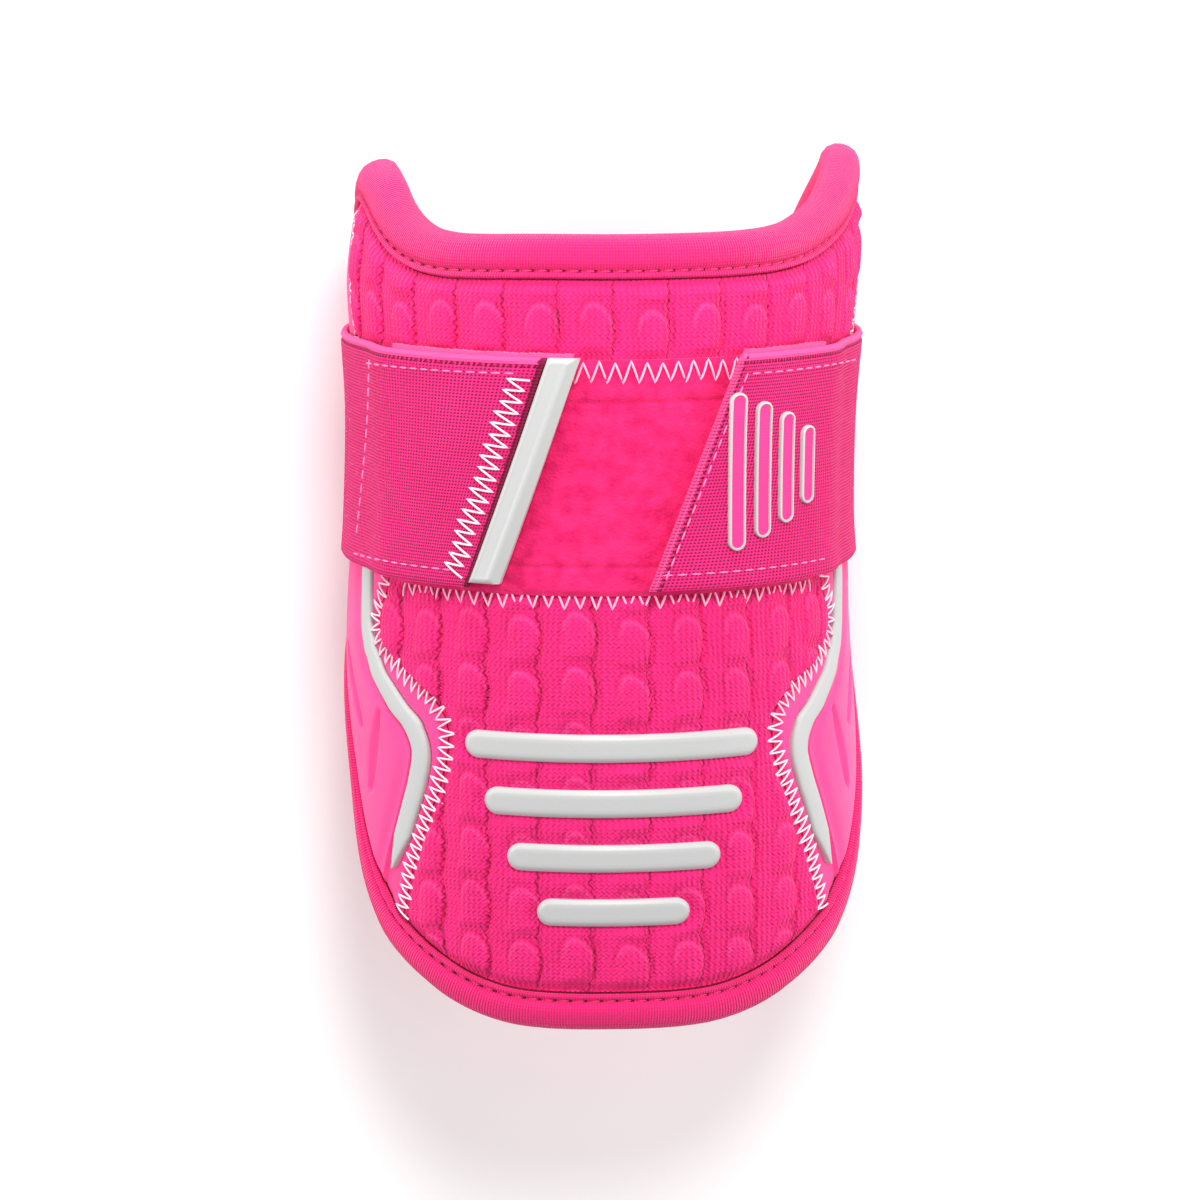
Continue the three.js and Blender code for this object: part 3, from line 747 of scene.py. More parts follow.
SIDE_GRAIN = 0.0006
side_finish, tree = new_finish("moulded_cloth", colour(255, 60, 140), 0.7, 0.35)
across, height = map_axes(tree, "weave")
grain = stripes(across, SIDE_GRAIN) * stripes(height, SIDE_GRAIN) * 0.4 + cloudy(tree, 1500, 2)
raise_surface(tree, grain, 0.00008)
paint(tree, cloudy(tree, 70), colour(255, 74, 150), colour(250, 54, 132))
for label, side in (("left", -1), ("right", 1)):
    turn = side_start[:, None] + (side_end - side_start)[:, None] * side_share[None, :]
    signed = side * turn
    height = row_height(side_heights[:, None], signed)
    edge = np.minimum(
        np.minimum(turn - side_start[:, None], side_end[:, None] - turn) / TURN_PER_METRE,
        np.minimum(height - low_at(signed), high_at(signed) - height) + 0.0004,
    )
    grids = (signed, height, side_lift(turn, height, edge))
    signed, height, lift = (grid[:, ::side] for grid in grids)
    mesh = make_wall(
        f"side_cloth_{label}",
        on_guard(signed, height, lift),
        on_guard(signed, height, COVER_GAP),
        stride=10,
        weave=(signed / TURN_PER_METRE, height),
    )
    add_piece(mesh, [side_finish], "side_fabric", f"side_panel_{label}")

# Silver strips
# A thin moulded rubber band lies in the groove of each flank. Its edges are bevelled, it is
# pointed at the foot and it runs in under the strap.
STRIP_ROWS = 200
STRIP_FOOT_UP = 0.075
STRIP_POINT = 0.009
STRIP_SECTION = table(
    ("beside", "drop"),
    (-1.0, 0.8),
    (-0.97, 0.35),
    (-0.86, 0.12),
    (-0.6, 0.0),
    (0.0, 0.0),
    (0.6, 0.0),
    (0.86, 0.12),
    (0.97, 0.35),
    (1.0, 0.8),
)
silver_finish, tree = new_finish("silver_rubber", colour(186, 187, 186), 0.42)
tree.nodes["Principled BSDF"].inputs["Specular IOR Level"].default_value = 0.5
raise_surface(tree, cloudy(tree, 1400, 2), 0.00003)
strip_top_up = (STRAP_LOW + STRIP_UNDER_STRAP - SEAT - foot_height) / (panel_top - foot_height)
strip_up = np.linspace(STRIP_FOOT_UP, strip_top_up, STRIP_ROWS + 1)
strip_heights, middle_turn, half_wide = strip_line(strip_up)
half_wide = half_wide * np.minimum(1, 0.12 + (strip_heights - strip_heights[0]) / STRIP_POINT)
for label, side in (("left", -1), ("right", 1)):
    beside = STRIP_SECTION["beside"][None, :] * half_wide[:, None] * TURN_PER_METRE
    turn = side * middle_turn[:, None] + beside
    height = row_height(strip_heights[:, None], turn)
    mesh = make_wall(
        f"silver_strip_{label}",
        on_guard(turn, height, SIDE_OVER + 0.0002 - STRIP_WALL * STRIP_SECTION["drop"]),
        on_guard(turn, height, GROOVE_FLOOR + 0.00005),
    )
    add_piece(mesh, [silver_finish], "silver_rubber", f"side_strip_{label}")

# Rim binding
# One ribbed tape is folded over the whole edge and sewn through with a straight seam. Its
# turned-in lip stands along the seam, and the foam inside makes it round.
BINDING_SECTION = table(
    ("inward", "lift", "puff"),
    (0.00708, 0.00072, 0.0),
    (0.0073, 0.0015, 0.0),
    (0.00713, 0.00215, 0.0),
    (0.00675, 0.0025, 0.0),
    (0.00628, 0.00245, 0.0),
    (0.00592, 0.00185, 0.0),
    (0.00566, 0.00165, 0.0),
    (0.00536, 0.00195, 0.0),
    (0.00476, 0.0024, 0.4),
    (0.0037, 0.00255, 0.8),
    (0.0028, 0.0025, 1.0),
    (0.0012, 0.00235, 0.8),
    (-0.0002, 0.0018, 0.4),
    (-0.0012, 0.0006, 0.0),
    (-0.00175, -0.001, 0.0),
    (-0.0018, -0.0026, 0.0),
    (-0.0012, -0.0043, 0.0),
    (0.0001, -0.00545, 0.0),
    (0.0018, -0.0059, 0.0),
    (0.004, -0.0059, 0.0),
    (0.0056, -0.00575, 0.0),
    (0.006, -0.0053, 0.0),
    (0.0059, -0.0048, 0.0),
    (0.002, -0.00475, 0.0),
    (-0.0003, -0.0047, 0.0),
    (-0.0003, -0.002, 0.0),
    (-0.0003, 0.0006, 0.0),
    (0.003, 0.00068, 0.0),
)
BINDING_PUFF = 0.0005
BINDING_SEAM_ROW = 6
STITCH_PITCH = 0.0034
STITCH_PINCH = 0.00018
TAPE_RIB = 0.00062
TAPE_WEFT = 0.0007

rings = [rim_inset(inward) for inward in BINDING_SECTION["inward"]]
binding_seam = rings[BINDING_SEAM_ROW]
seam_points = on_guard(binding_seam[:, 0] * TURN_PER_METRE, binding_seam[:, 1], 0.0018)
rim_steps = np.linalg.norm(np.roll(seam_points, -1, 0) - seam_points, axis=1)
rim_travel = np.concatenate([[0], np.cumsum(rim_steps)])
rim_length = rim_travel[-1]
section_steps = np.hypot(np.diff(BINDING_SECTION["inward"]), np.diff(BINDING_SECTION["lift"]))
section_travel = np.concatenate([[0], np.cumsum(section_steps)])
binding_stitch = rim_length / round(rim_length / STITCH_PITCH)
tuft = 0.5 - 0.5 * np.cos(2 * math.pi * rim_travel[:-1] / binding_stitch)
points = []
for ring, inward, lift, puff in zip(rings, *BINDING_SECTION.values()):
    turn = ring[:, 0] * TURN_PER_METRE
    calm = smooth((118 - np.abs(turn)) / 12)
    swell = BINDING_PUFF * puff * (0.85 + 0.15 * np.sin(rim_travel[:-1] * 130)) * calm
    pinch = STITCH_PINCH * tuft if 0.0050 < inward < 0.0063 and lift > 0 else 0
    points.append(on_guard(turn, ring[:, 1], lift + swell - pinch))
points = np.stack(points)
ring_count, station_count = points.shape[:2]
index = np.arange(ring_count * station_count).reshape(ring_count, station_count)
around = np.roll(index, -1, 1)
quads = np.stack([index, around, np.roll(around, -1, 0), np.roll(index, -1, 0)], -1)
binding_mesh = bpy.data.meshes.new("ribbed_binding")
binding_mesh.from_pydata(points.reshape(-1, 3).tolist(), [], quads.reshape(-1, 4).tolist())
crosswise = np.append(section_travel, section_travel[-1] + 0.004)
stations, sections = np.meshgrid(np.arange(station_count), np.arange(ring_count))
corner_map = np.stack([
    np.stack([rim_travel[stations + i], crosswise[sections + j]], -1)
    for i, j in ((0, 0), (1, 0), (1, 1), (0, 1))
], 2)
layer = binding_mesh.uv_layers.new(name="weave")
layer.data.foreach_set("uv", corner_map.astype(np.float32).ravel())
finish_mesh(binding_mesh, 80)

binding_finish, tree = new_finish("ribbed_tape", colour(255, 36, 122), 0.8, 0.25)
travel, section = map_axes(tree, "weave")
ribs = stripes(travel, TAPE_RIB)
raise_surface(tree, ribs * 0.7 + stripes(section, TAPE_WEFT) * 0.25, 0.00016)
# Painted shade: the dips where the stitches pull the tape in, and the troughs between its ribs, are
# coloured dark.
near_seam = abs(section - float(section_travel[BINDING_SEAM_ROW])) < 0.0004
stitch_dip_shade = near_seam * (stripes(travel, binding_stitch, -math.pi / 2) > 0.3)
paint(tree, stitch_dip_shade.most((ribs < -0.3) * 0.3), colour(255, 34, 122), colour(130, 2, 54))
binding = add_piece(binding_mesh, [binding_finish], "binding_tape", "rim_binding")

# Inner lining
# A smooth brushed cloth covers the inside as far as the tape's inner leg. It wrinkles where
# the horns bend, on the side turned to the arm.
LINING_WALL = 0.0012
BINDING_TUCK = 0.006
LINING_OVER = -SHELL_WALL - COVER_GAP
LINING_ROWS = 90
WRINKLE_DEPTH = 0.0009

lining_low, lining_high = rim_halves(BINDING_TUCK + SEAM_GAP)
rise = np.linspace(0, 1, LINING_ROWS + 1)[:, None, None]
spots = lining_low[None] * (1 - rise) + lining_high[None] * rise
turn, height = spots[..., 0] * TURN_PER_METRE, spots[..., 1]
from_top = lining_high[None, :, 1] - height
wrinkle = np.exp(-((from_top - 0.007) / 0.004) ** 2) * smooth((np.abs(turn) - 70) / 25)
wrinkle = wrinkle * (0.6 + 0.4 * np.sin(turn * 0.35))
wrinkle += 0.105 * np.sin(turn * 0.12 + height * 90) * np.sin(height * 60)
lining_mesh = make_wall(
    "smooth_lining",
    on_guard(turn, height, LINING_OVER),
    on_guard(turn, height, LINING_OVER - LINING_WALL - WRINKLE_DEPTH * np.maximum(wrinkle, 0)),
)
lining_finish, tree = new_finish("brushed_lining", colour(248, 60, 136), 0.95, 0.5)
raise_surface(tree, cloudy(tree, 700) + cloudy(tree, 120) * 1.5, 0.00025)
paint(tree, cloudy(tree, 60), colour(252, 66, 142), colour(240, 44, 122))
lining = add_piece(lining_mesh, [lining_finish], "lining", "inner_lining")


def grid_area(points):
    """Area of a grid of points, in square metres."""
    first = points[:-1, 1:] - points[:-1, :-1]
    second = points[1:, :-1] - points[:-1, :-1]
    return float(np.linalg.norm(np.cross(first, second), axis=-1).sum())


lining_area = grid_area(on_guard(turn, height, LINING_OVER - LINING_WALL))

# Loop patch
# The brushed loop pad across the face, which the strap's ends grip. It is pressed in along two
# lines across it and its pile is rubbed in patches.
LOOP_WALL = 0.0012
LOOP_UNDER = KNIT_OVER + SEAT
LOOP_OVER = LOOP_UNDER + LOOP_WALL
PATCH_REACH = 0.051
PATCH_MARGIN = 0.0015
PATCH_LOW = STRAP_LOW - PATCH_MARGIN
PATCH_HIGH = STRAP_HIGH - PATCH_MARGIN / 2
PRESSED_LOW = 0.1046
PRESSED_HIGH = 0.1400


def face_grid(columns, heights, left, right):
    """Distances across and heights of a grid between two edges of the face."""
    share = np.linspace(0, 1, columns + 1)[None, :]
    left, right = (np.broadcast_to(edge, heights.shape)[:, None] for edge in (left, right))
    return left + (right - left) * share, heights[:, None] * np.ones_like(share)


patch_heights = np.linspace(PATCH_LOW, PATCH_HIGH, 121)
across, height = face_grid(260, patch_heights, -PATCH_REACH, PATCH_REACH)
from_end = np.minimum(height - PATCH_LOW, PATCH_HIGH - height)
edge = np.minimum(PATCH_REACH - np.abs(across), from_end)
pressed = sum(np.exp(-((height - level) / 0.0005) ** 2) for level in (PRESSED_LOW, PRESSED_HIGH))
uneven = np.sin(across * 310 + 2 * np.sin(height * 240)) * np.sin(height * 330 + across * 90)
lift = LOOP_OVER - 0.0007 * (1 - smooth(edge / 0.0014)) - 0.0004 * pressed + 0.00007 * uneven
turn = across * TURN_PER_METRE
patch_mesh = make_wall(
    "loop_pile",
    on_guard(turn, height, lift),
    on_guard(turn, height, LOOP_UNDER - 0.0002),
    stride=10,
)
loop_finish, tree = new_finish("brushed_loop", colour(248, 40, 120), 1.0, 0.3)
raise_surface(tree, cloudy(tree, 1600, 4) + cloudy(tree, 420) * 0.8, 0.0004)
rubbed = ((cloudy(tree, 300, 6) - 0.36) * 3.2).step("SMOOTH_MIN", 1.0, 0.1)
paint(tree, rubbed, colour(242, 38, 113), colour(214, 18, 92))
patch = add_piece(patch_mesh, [loop_finish], "loop_pile", "loop_patch")
patch_area = grid_area(on_guard(turn, height, LOOP_OVER))

# Strap
# One band of woven elastic, 50 mm wide, from its right end on the face round the flanks and
# flat across the open back to its left end. A paler selvedge runs along its upper edge.
HOOK_WALL = 0.0014
HOOK_UNDER = LOOP_OVER + SEAT
HOOK_OVER = HOOK_UNDER + HOOK_WALL
STRAP_ON_FACE = HOOK_OVER + SEAT
BINDING_WALL = 0.0015
STRAP_ON_SIDE = max(SIDE_OVER, COVER_GAP + BINDING_WALL) + SEAT + 0.00015
STRAP_WALL = 0.0016
STRAP_BEND = 0.003
LEFT_END_ACROSS = 0.0213
LEFT_END_LEAN = 0.0166
RIGHT_END_ACROSS = 0.0165
RIGHT_END_LEAN = 0.0192
HOOK_REACH = 0.050
HOOK_SHOW = 0.0015
STRAP_SETTLE = 0.014
STRAP_ROWS = 64
STRAP_WARP = 0.00078
STRAP_WEFT = 0.00070


def left_end(height):
    return -LEFT_END_ACROSS + LEFT_END_LEAN * (height - STRAP_MIDDLE) / STRAP_WIDTH


def right_end(height):
    return RIGHT_END_ACROSS + RIGHT_END_LEAN * (height - STRAP_MIDDLE) / STRAP_WIDTH


bend_reach = BACK_DEPTH + STRAP_ON_SIDE - STRAP_BEND
bend_turn = math.degrees(math.acos(-(AXIS_HEIGHT - STRAP_WALL - STRAP_BEND) / bend_reach))
settle_start = HOOK_REACH * TURN_PER_METRE
settle_end = (HOOK_REACH + STRAP_SETTLE) * TURN_PER_METRE
strap_heights = np.linspace(STRAP_LOW, STRAP_HIGH, STRAP_ROWS + 1)


def strap_half(side, lift):
    """Columns of points, from the strap's end on the face to the middle of the back."""
    def flank(turn, base):
        return on_guard(side * turn, strap_heights, base + lift)

    def bend(angle):
        reach = STRAP_BEND + lift
        widest = on_guard(side * 89.9, strap_heights, STRAP_ON_SIDE - STRAP_BEND)[:, 0]
        middle = widest * math.sin(math.radians(bend_turn))
        x = middle + side * reach * math.sin(math.radians(angle))
        z = STRAP_WALL + STRAP_BEND + reach * math.cos(math.radians(angle))
        return np.stack([x, strap_heights - STRAP_MIDDLE, z], -1)

    end = (left_end if side < 0 else right_end)(strap_heights) * side * TURN_PER_METRE
    columns = []
    for share in np.linspace(0, 1, 110):
        columns.append(flank(end + (settle_start - end) * share, STRAP_ON_FACE))
    for share in np.linspace(0, 1, 25)[1:]:
        base = STRAP_ON_FACE + (STRAP_ON_SIDE - STRAP_ON_FACE) * smooth(share)
        columns.append(flank(settle_start + (settle_end - settle_start) * share, base))
    for share in np.linspace(0, 1, 80)[1:]:
        columns.append(flank(settle_end + (bend_turn - settle_end) * share, STRAP_ON_SIDE))
    for share in np.linspace(0, 1, 13)[1:]:
        columns.append(bend(bend_turn + (180 - bend_turn) * share))
    for share in np.linspace(0, 1, 14)[1:-1]:
        columns.append(bend(180) * (1 - share, 1, 1))
    return np.stack(columns, 1)


def strap_face(lift):
    """Both halves of one face of the strap, from its left end to its right end."""
    return np.concatenate([strap_half(1, lift), strap_half(-1, lift)[:, ::-1]], 1)[:, ::-1]


edge = np.minimum(strap_heights - STRAP_LOW, STRAP_HIGH - strap_heights)
round_edge = 0.0005 * (1 - smooth(edge / 0.0008))
fold = 0.00035 * np.exp(-(((strap_heights - STRAP_HIGH + 0.0016) / 0.0004) ** 2))
strap_over = strap_face(STRAP_WALL - round_edge - fold)
strap_under = strap_face(round_edge * 0.5)
strap_steps = np.linalg.norm(np.diff(strap_over[STRAP_ROWS // 2, ::-1], axis=0), axis=1)
strap_travel = np.concatenate([[0], np.cumsum(strap_steps)])
travel, level = np.broadcast_arrays(strap_travel[::-1], strap_heights[:, None])
strap_mesh = make_wall("elastic_strap", strap_over, strap_under, weave=(travel, level))
strap_finish, tree = new_finish("woven_elastic", colour(255, 42, 126), 0.85, 0.08)
travel, level = map_axes(tree, "weave")
both = (stripes(travel, STRAP_WARP) + 1.0) * (stripes(level, STRAP_WEFT) + 1.0)
border = level > STRAP_HIGH - 0.0014
web = 1.0 - border
slit = level.step("COMPARE", STRAP_HIGH - 0.0018, 0.0004) * (stripes(travel, 0.0011) > 0.0)
# Painted shade in the pits of the weave, where both threads dip, together with the border's dark
# slits.
shade_and_dark_marks = ((both > 2.8) * web * 0.75).most(slit * 0.9)
woven = blend_colours(tree, cloudy(tree, 50), colour(254, 44, 134), colour(236, 22, 110))
plain = blend_colours(tree, border, woven, colour(252, 80, 148))
from_left = float(strap_travel[-1]) - travel
burnt = (from_left + cloudy(tree, 2200, 2) * 0.0014 < 0.0019) * 0.95
selvage = travel < 0.0011
plain = blend_colours(tree, selvage * 0.8, plain, colour(255, 84, 152))
whipped = travel.step("COMPARE", 0.0016, 0.0004) * (stripes(level, 0.0012) > 0.0)
# The burnt left end and the whipped right end are the strap's own dark marks.
shade_and_dark_marks = (shade_and_dark_marks * (1.0 - selvage)).most(burnt.most(whipped * 0.9))
paint(tree, shade_and_dark_marks, plain, colour(120, 0, 50))
raise_surface(tree, (1.6 - both) * (web + 0.2), 0.00012)
strap = add_piece(strap_mesh, [strap_finish], "elastic_web", "strap_band")

# Hook tape
# A pad of hook tape is sewn under each end of the strap. Its pale backing shows a little past
# the strap's upper edge, cut slanting and a little frayed.
TAB_WIDTH = 0.0062
hook_finish, tree = new_finish("hook_tape", colour(252, 84, 150), 0.8, 0.3)
raise_surface(tree, cloudy(tree, 1200), 0.0002)
heights = np.linspace(STRAP_LOW + HOOK_SHOW, STRAP_HIGH + HOOK_SHOW / 2, 61)
hook_edges = (
    ("left", -HOOK_REACH, left_end(heights) + TAB_WIDTH * 0.8),
    ("right", right_end(heights) + HOOK_SHOW, HOOK_REACH),
)
for label, start, end in hook_edges:
    across, height = face_grid(120, heights, start, end)
    ragged = np.sin(across * 5100) * np.sin(across * 1730) + 0.6 * np.sin(across * 730)
    frayed = height + 0.00022 * ragged * smooth((height - STRAP_HIGH) / HOOK_SHOW)
    turn = across * TURN_PER_METRE
    over = on_guard(turn, frayed, HOOK_OVER)
    mesh = make_wall(f"hook_tape_{label}", over, on_guard(turn, frayed, HOOK_UNDER), stride=10)
    hook = add_piece(mesh, [hook_finish], "hook_pile", f"hook_pad_{label}")
    length = grid_area(over) / STRAP_WIDTH

# Pull tab
# A silver moulded bar is bonded along the strap's left end. Its right side slopes down, its
# corners are rounded, and its face is plain.
TAB_WALL = 0.0028
TAB_INSET = 0.0012
TAB_COLUMNS = 24
TAB_ROWS = 120
tab_low = STRAP_LOW + TAB_INSET
heights = np.linspace(tab_low, STRAP_HIGH, TAB_ROWS + 1)
tab_start = left_end(heights) + SEAT
across, height = face_grid(TAB_COLUMNS, heights, tab_start, tab_start + TAB_WIDTH)
from_left = across - tab_start[:, None]
from_right = TAB_WIDTH - from_left
from_end = np.minimum(height - tab_low, STRAP_HIGH - height)
bevel_left = 0.0007 * (1 - smooth(from_left / 0.0007))
bevel_right = 0.0014 * (1 - np.clip(from_right / 0.0019, 0, 1))
bevel_end = 0.0008 * (1 - smooth(from_end / 0.0009))
from_face_edge = np.minimum(np.minimum(from_left, from_right - 0.0018), from_end)
inset = smooth((from_face_edge - 0.0007) / 0.0003)
lift = STRAP_ON_FACE + TAB_WALL - np.maximum(np.maximum(bevel_left, bevel_right), bevel_end)
lift = lift - 0.00012 * inset
turn = across * TURN_PER_METRE
over, under = on_guard(turn, height, lift), on_guard(turn, height, STRAP_ON_FACE)
tab_mesh = make_wall("moulded_tab", over, under)
add_piece(tab_mesh, [silver_finish], "silver_rubber", "pull_tab")

# Plain bars
# Four plain raised bars stand on the face and four smaller ones on the strap's right end. The
# first are silver rubber, and the others are pink with a white edge.
STRAP_BARS = 4
STRAP_BAR_LENGTH = 0.034
STRAP_BAR_WIDTH = 0.0038
STRAP_BAR_PITCH = 0.006
STRAP_BAR_ACROSS = 0.034
BAR_ROUNDS = 17
BAR_STRAIGHT = 40
BAR_SECTION = table(
    ("face_inset", "face_lift", "strap_inset", "strap_lift"),
    (0.0, 0.0, 0.0, 0.0),
    (0.0, 0.0006, 0.0, 0.0006),
    (0.0001, 0.0008, 0.0001, 0.0008),
    (0.0009, 0.0014, 0.0005, 0.0009),
    (0.0012, 0.0015, 0.0006, 0.0006),
    (0.0020, 0.0015, 0.0009, 0.0006),
)


def bar_points(place, length, width, is_along, base, kind):
    """Rings of a bar from its foot to its crown, as points on the guard."""
    rings = []
    for inset, lift in zip(BAR_SECTION[f"{kind}_inset"], BAR_SECTION[f"{kind}_lift"]):
        radius = max(width / 2 - inset, 0.00002)
        straight = (length - width) / 2
        ring = []
        for end in (1, -1):
            angle = np.radians(np.linspace(-90, 90, BAR_ROUNDS) + (0 if end > 0 else 180))
            tip = [end * straight + radius * np.cos(angle), radius * np.sin(angle)]
            ring.append(np.stack(tip, -1))
            way = np.linspace(end * straight, -end * straight, BAR_STRAIGHT + 2)[1:-1]
            ring.append(np.stack([way, np.full_like(way, end * radius)], -1))
        lengthwise, crosswise = np.concatenate(ring).T
        if is_along:
            across, height = place[0] - crosswise, place[1] + lengthwise
        else:
            across, height = place[0] + lengthwise, place[1] + crosswise
        rings.append(on_guard(across * TURN_PER_METRE, height, base + lift))
    return np.stack(rings)


def bar_mesh(name, rings):
    """A closed mesh from the rings, with its crown and foot filled by strips of quads."""
    ring_count, corner_count = rings.shape[:2]
    index = np.arange(ring_count * corner_count).reshape(ring_count, corner_count)
    after = np.roll(index, -1, 1)
    quads = np.stack([index[:-1], after[:-1], after[1:], index[1:]], -1).reshape(-1, 4).tolist()

    def strips(ring):
        order = np.roll(ring, -((BAR_ROUNDS - 1) // 2))
        back = np.roll(order[::-1], 1)
        faces = []
        for k in range(corner_count // 2):
            corners = (order[k], order[k + 1], back[k + 1], back[k])
            faces.append(list(dict.fromkeys(int(corner) for corner in corners)))
        return [face for face in faces if len(face) > 2]

    quads += strips(index[-1])
    quads += [face[::-1] for face in strips(index[0])]
    mesh = bpy.data.meshes.new(name)
    mesh.from_pydata(rings.reshape(-1, 3).tolist(), [], quads)
    return finish_mesh(mesh, 40)


for index in range(FACE_BARS):
    length = FACE_BAR_LENGTH * math.sqrt((index + 1) / FACE_BARS)
    place = (0, FACE_BAR_LOWEST + FACE_BAR_PITCH * index)
    rings = bar_points(place, length, FACE_BAR_WIDTH, False, KNIT_OVER - 0.0002, "face")
    mesh = bar_mesh(f"face_badge_bar_{index + 1}", rings)
    add_piece(mesh, [silver_finish], "silver_rubber", f"face_bar_{index + 1}")

pink_rubber, tree = new_finish("pink_rubber", colour(255, 50, 134), 0.45)
raise_surface(tree, cloudy(tree, 1400, 2), 0.00003)
on_strap = STRAP_ON_FACE + STRAP_WALL
for index in range(STRAP_BARS):
    length = STRAP_BAR_LENGTH * math.sqrt((STRAP_BARS - index) / STRAP_BARS)
    place = (STRAP_BAR_ACROSS + STRAP_BAR_PITCH * (index - (STRAP_BARS - 1) / 2), STRAP_MIDDLE)
    rings = bar_points(place, length, STRAP_BAR_WIDTH, True, on_strap, "strap")
    mesh = bar_mesh(f"strap_badge_bar_{index + 1}", rings)
    is_crown = np.arange(len(mesh.polygons)) >= rings.shape[1] * 4
    mesh.polygons.foreach_set("material_index", is_crown.astype(int))
    add_piece(mesh, [silver_finish, pink_rubber], "badge_rubber", f"strap_bar_{index + 1}")

# Sewing thread
# White zigzag seams hold the knit to the side cloth and the loop pad to the knit, a heavy one
# stands beside the tab, and straight stitches run round the strap's ends and along the tape.
def place_node(group, kind, inputs=None, out=0, **settings):
    """A new node's output, with its settings and inputs given."""
    node = group.nodes.new(kind)
    for key, value in settings.items():
        setattr(node, key, value)
    for key, value in (inputs or {}).items():
        feed(group, node.inputs[key], value)
    return node.outputs[out]


def thread_tree(name, sizes):
    """A Geometry Nodes tree with named inputs, and what its Group Input gives."""
    group = bpy.data.node_groups.new(name, "GeometryNodeTree")
    group.interface.new_socket("Geometry", in_out="INPUT", socket_type="NodeSocketGeometry")
    for label in sizes:
        group.interface.new_socket(label, in_out="INPUT", socket_type="NodeSocketFloat")
    group.interface.new_socket("Thread", in_out="INPUT", socket_type="NodeSocketMaterial")
    group.interface.new_socket("Geometry", in_out="OUTPUT", socket_type="NodeSocketGeometry")
    return group, group.nodes.new("NodeGroupInput").outputs


def spaced_line(group, given, length):
    """The guide as a curve whose points stand a length apart."""
    curve = place_node(group, "GeometryNodeMeshToCurve", {"Mesh": given["Geometry"]})
    inputs = {"Curve": curve, "Length": length}
    return place_node(group, "GeometryNodeResampleCurve", inputs, mode="LENGTH")


def end_tree(group, given, shape):
    """Ends a tree: smooth, one real mesh, in the thread's own material."""
    soft = place_node(group, "GeometryNodeSetShadeSmooth", {"Geometry": shape})
    solid = place_node(group, "GeometryNodeRealizeInstances", {"Geometry": soft})
    inputs = {"Geometry": solid, "Material": given["Thread"]}
    dyed = place_node(group, "GeometryNodeSetMaterial", inputs)
    group.links.new(dyed, group.nodes.new("NodeGroupOutput").inputs[0])
    return group


def zigzag_tree():
    """Thread that steps from side to side of a guide line and arches over the cloth."""
    group, given = thread_tree("zigzag_thread", ("Pitch", "Width", "Thickness", "Arch"))

    def moved(shape, direction, distance):
        inputs = {0: direction, "Scale": distance}
        offset = place_node(group, "ShaderNodeVectorMath", inputs, operation="SCALE")
        return place_node(group, "GeometryNodeSetPosition", {"Geometry": shape, "Offset": offset})

    spaced = spaced_line(group, given, step(group, "MULTIPLY", given["Pitch"], 0.5))
    outward = place_node(
        group, "GeometryNodeInputNamedAttribute", {"Name": "outward"}, data_type="FLOAT_VECTOR"
    )
    tangent = place_node(group, "GeometryNodeInputTangent")
    sideways = place_node(
        group, "ShaderNodeVectorMath", {0: outward, 1: tangent}, operation="CROSS_PRODUCT"
    )
    number = Value(group, place_node(group, "GeometryNodeInputIndex"))
    uneven = place_node(
        group, "FunctionNodeRandomValue", {"Min": 0.85, "Max": 1.15, "ID": number, "Seed": 7},
        out="Value", data_type="FLOAT",
    )
    reach = (number % 2.0 - 0.5) * given["Width"] * uneven
    stepped = moved(spaced, sideways, reach)
    finer = place_node(group, "GeometryNodeSubdivideCurve", {"Curve": stepped, "Cuts": 5})
    height = (number % 6.0 * (math.pi / 6)).step("SINE") * given["Arch"]
    arched = moved(finer, outward, height)
    profile = place_node(
        group, "GeometryNodeCurvePrimitiveCircle",
        {"Resolution": 7, "Radius": given["Thickness"]}, mode="RADIUS",
    )
    inputs = {"Curve": arched, "Profile Curve": profile, "Fill Caps": True}
    return end_tree(group, given, place_node(group, "GeometryNodeCurveToMesh", inputs))


def straight_tree():
    """Separate stitches, one to each pitch of a guide line."""
    group, given = thread_tree("straight_stitches", ("Pitch", "Length", "Thickness"))
    tangent = place_node(group, "GeometryNodeInputTangent")
    grain = {"Segments": 8, "Rings": 7, "Radius": 1.0}
    half = step(group, "MULTIPLY", given["Length"], 0.5)
    sizes = {0: half, 1: given["Thickness"], 2: given["Thickness"]}
    stitch = place_node(group, "GeometryNodeTransform", {
        "Geometry": place_node(group, "GeometryNodeMeshUVSphere", grain),
        "Scale": place_node(group, "ShaderNodeCombineXYZ", sizes),
    })
    row = place_node(group, "GeometryNodeInstanceOnPoints", {
        "Points": spaced_line(group, given, given["Pitch"]),
        "Instance": stitch,
        "Rotation": place_node(
            group, "FunctionNodeAlignRotationToVector", {"Vector": tangent}, axis="X"
        ),
    })
    return end_tree(group, given, row)


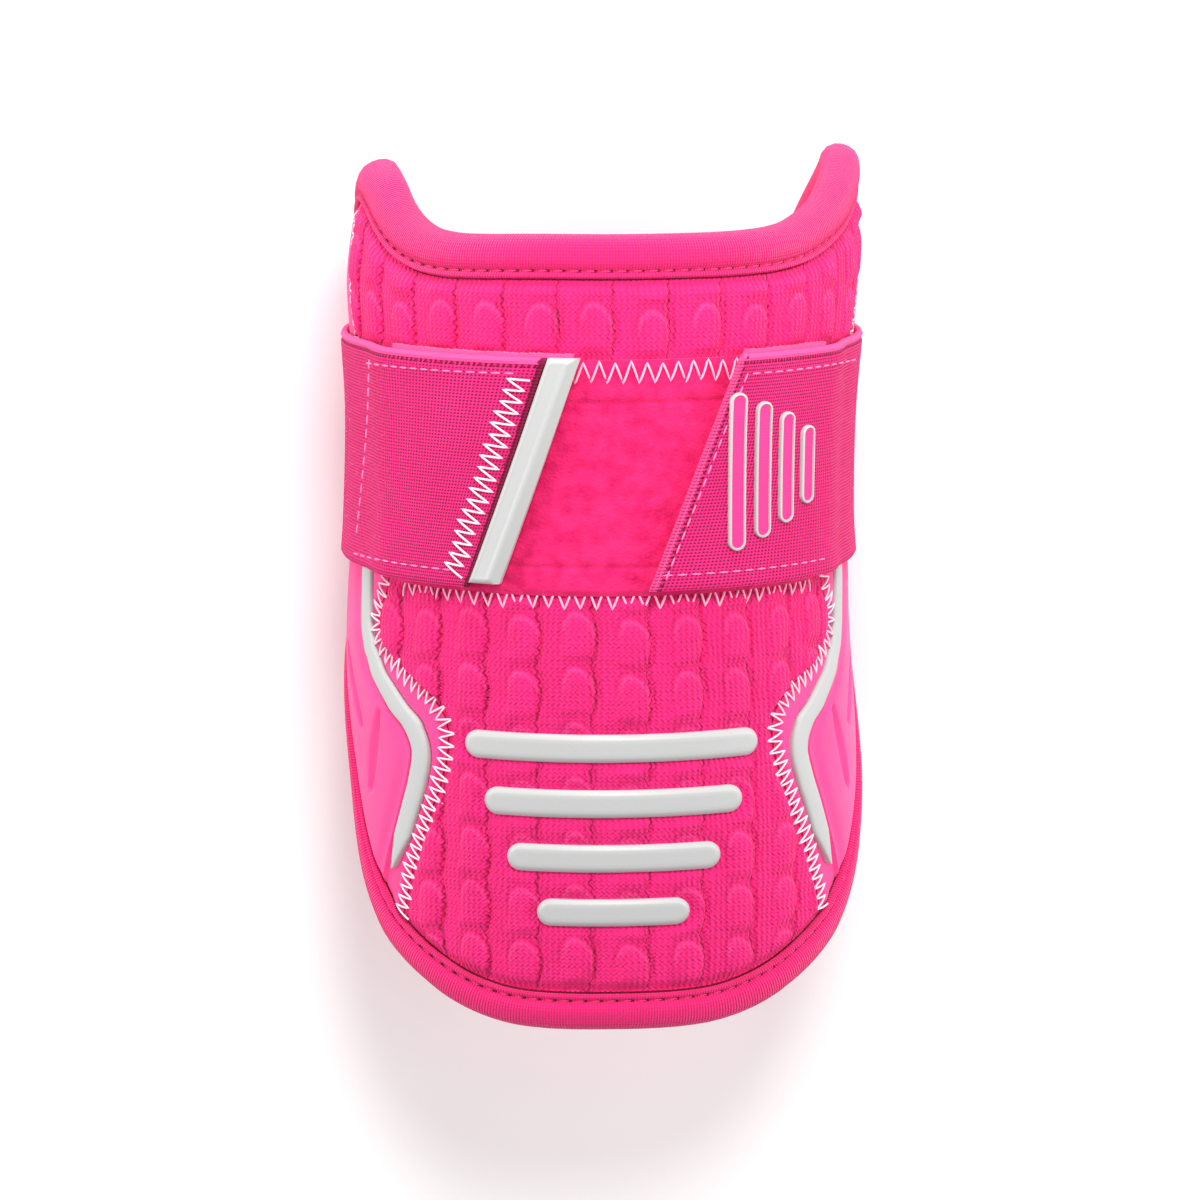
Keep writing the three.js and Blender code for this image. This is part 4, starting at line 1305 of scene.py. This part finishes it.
def sew(name, group, guides, slot, **sizes):
    """Runs a thread tree along guide lines given as (across, height, lift) points."""
    points, edges, outward = [], [], []
    for across, height, lift in guides:
        turn = np.asarray(across) * TURN_PER_METRE
        here = on_guard(turn, height, lift)
        above = on_guard(turn, height, np.asarray(lift) + 0.001)
        edges += [(len(points) + k, len(points) + k + 1) for k in range(len(here) - 1)]
        points += here.tolist()
        outward += ((above - here) / 0.001).tolist()
    mesh = bpy.data.meshes.new(name)
    mesh.from_pydata(points, edges, [])
    attribute = mesh.attributes.new("outward", "FLOAT_VECTOR", "POINT")
    attribute.data.foreach_set("vector", np.array(outward, np.float32).ravel())
    guide = bpy.data.objects.new(name, mesh)
    bpy.context.scene.collection.objects.link(guide)
    modifier = guide.modifiers.new("thread", "NODES")
    modifier.node_group = group
    for socket in group.interface.items_tree:
        if socket.in_out == "INPUT" and socket.name in sizes:
            modifier[socket.identifier] = sizes[socket.name]
    bpy.context.view_layer.update()
    seen = guide.evaluated_get(bpy.context.evaluated_depsgraph_get())
    sewn = bpy.data.meshes.new_from_object(seen)
    guide.modifiers.remove(modifier)
    guide.data = sewn
    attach(guide, "root")
    return guide


def thread_finish(name, base):
    made, tree = new_finish(name, base, 0.6, 0.3)
    raise_surface(tree, cloudy(tree, 3000, 2), 0.00006)
    return made


white_thread = thread_finish("white_thread", colour(246, 216, 230))
patch_thread = thread_finish("patch_thread", colour(255, 186, 216))
pale_thread = thread_finish("pale_pink_thread", colour(255, 126, 182))
tape_thread = thread_finish("tape_thread", colour(250, 62, 136))
zigzag = zigzag_tree()
straight = straight_tree()

seam_up = np.linspace(0.004, 0.985, 260)
for label, side in (("left", -1), ("right", 1)):
    turn = side * seam_turn(seam_up)
    height = row_height(seam_height(seam_up), turn)
    sew(
        f"side_seam_{label}", zigzag, [(turn / TURN_PER_METRE, height, KNIT_OVER - 0.0003)],
        "silver_rubber",
        Pitch=0.0026, Width=0.0050, Thickness=0.00023, Arch=0.0004, Thread=white_thread,
    )


def line(start, end, lift, count=60):
    across, height = np.linspace(start, end, count).T
    return across, height, lift


patch_foot = STRAP_LOW - 0.0022
patch_head = STRAP_HIGH - 0.0034
patch_rows = [
    line((-0.0500, patch_foot), (0.0500, patch_foot), KNIT_OVER + 0.0002, 160),
    line((-0.0160, patch_head), (0.0280, patch_head), LOOP_OVER - 0.0001, 90),
]
sew(
    "patch_seams", zigzag, patch_rows, "silver_rubber",
    Pitch=0.0034, Width=0.0044, Thickness=0.00025, Arch=0.0004, Thread=patch_thread,
)

heights = np.linspace(STRAP_LOW + 0.003, STRAP_HIGH - 0.004, 120)
sew(
    "tab_seam", zigzag, [(left_end(heights) - 0.0042, heights, on_strap + 0.0001)],
    "silver_rubber",
    Pitch=0.0025, Width=0.0052, Thickness=0.00026, Arch=0.0003, Thread=white_thread,
)

strap_foot = STRAP_LOW + 0.0035
strap_lines = [
    line((-0.0205, STRAP_HIGH - 0.0034), (-0.0560, STRAP_HIGH - 0.0040), on_strap),
    line((-0.0560, STRAP_HIGH - 0.0042), (-0.0615, STRAP_LOW + 0.0090), on_strap),
    line((-0.0340, strap_foot), (-0.0615, strap_foot), on_strap),
    line((0.0290, STRAP_HIGH - 0.0042), (0.0590, STRAP_HIGH - 0.0042), on_strap),
    line(
        (right_end(STRAP_HIGH) + 0.0005, STRAP_HIGH - 0.0050),
        (right_end(STRAP_LOW) + 0.0035, strap_foot),
        on_strap,
    ),
    line((0.0105, strap_foot), (0.0480, strap_foot), on_strap),
]
sew(
    "strap_stitches", straight, strap_lines, "silver_rubber",
    Pitch=0.0030, Length=0.0024, Thickness=0.00022, Thread=pale_thread,
)

tape_line = np.vstack([binding_seam, binding_seam[:1]])
sew(
    "binding_stitches", straight, [(tape_line[:, 0], tape_line[:, 1], 0.0016)],
    "binding_tape",
    Pitch=binding_stitch, Length=0.0021, Thickness=0.00024, Thread=tape_thread,
)
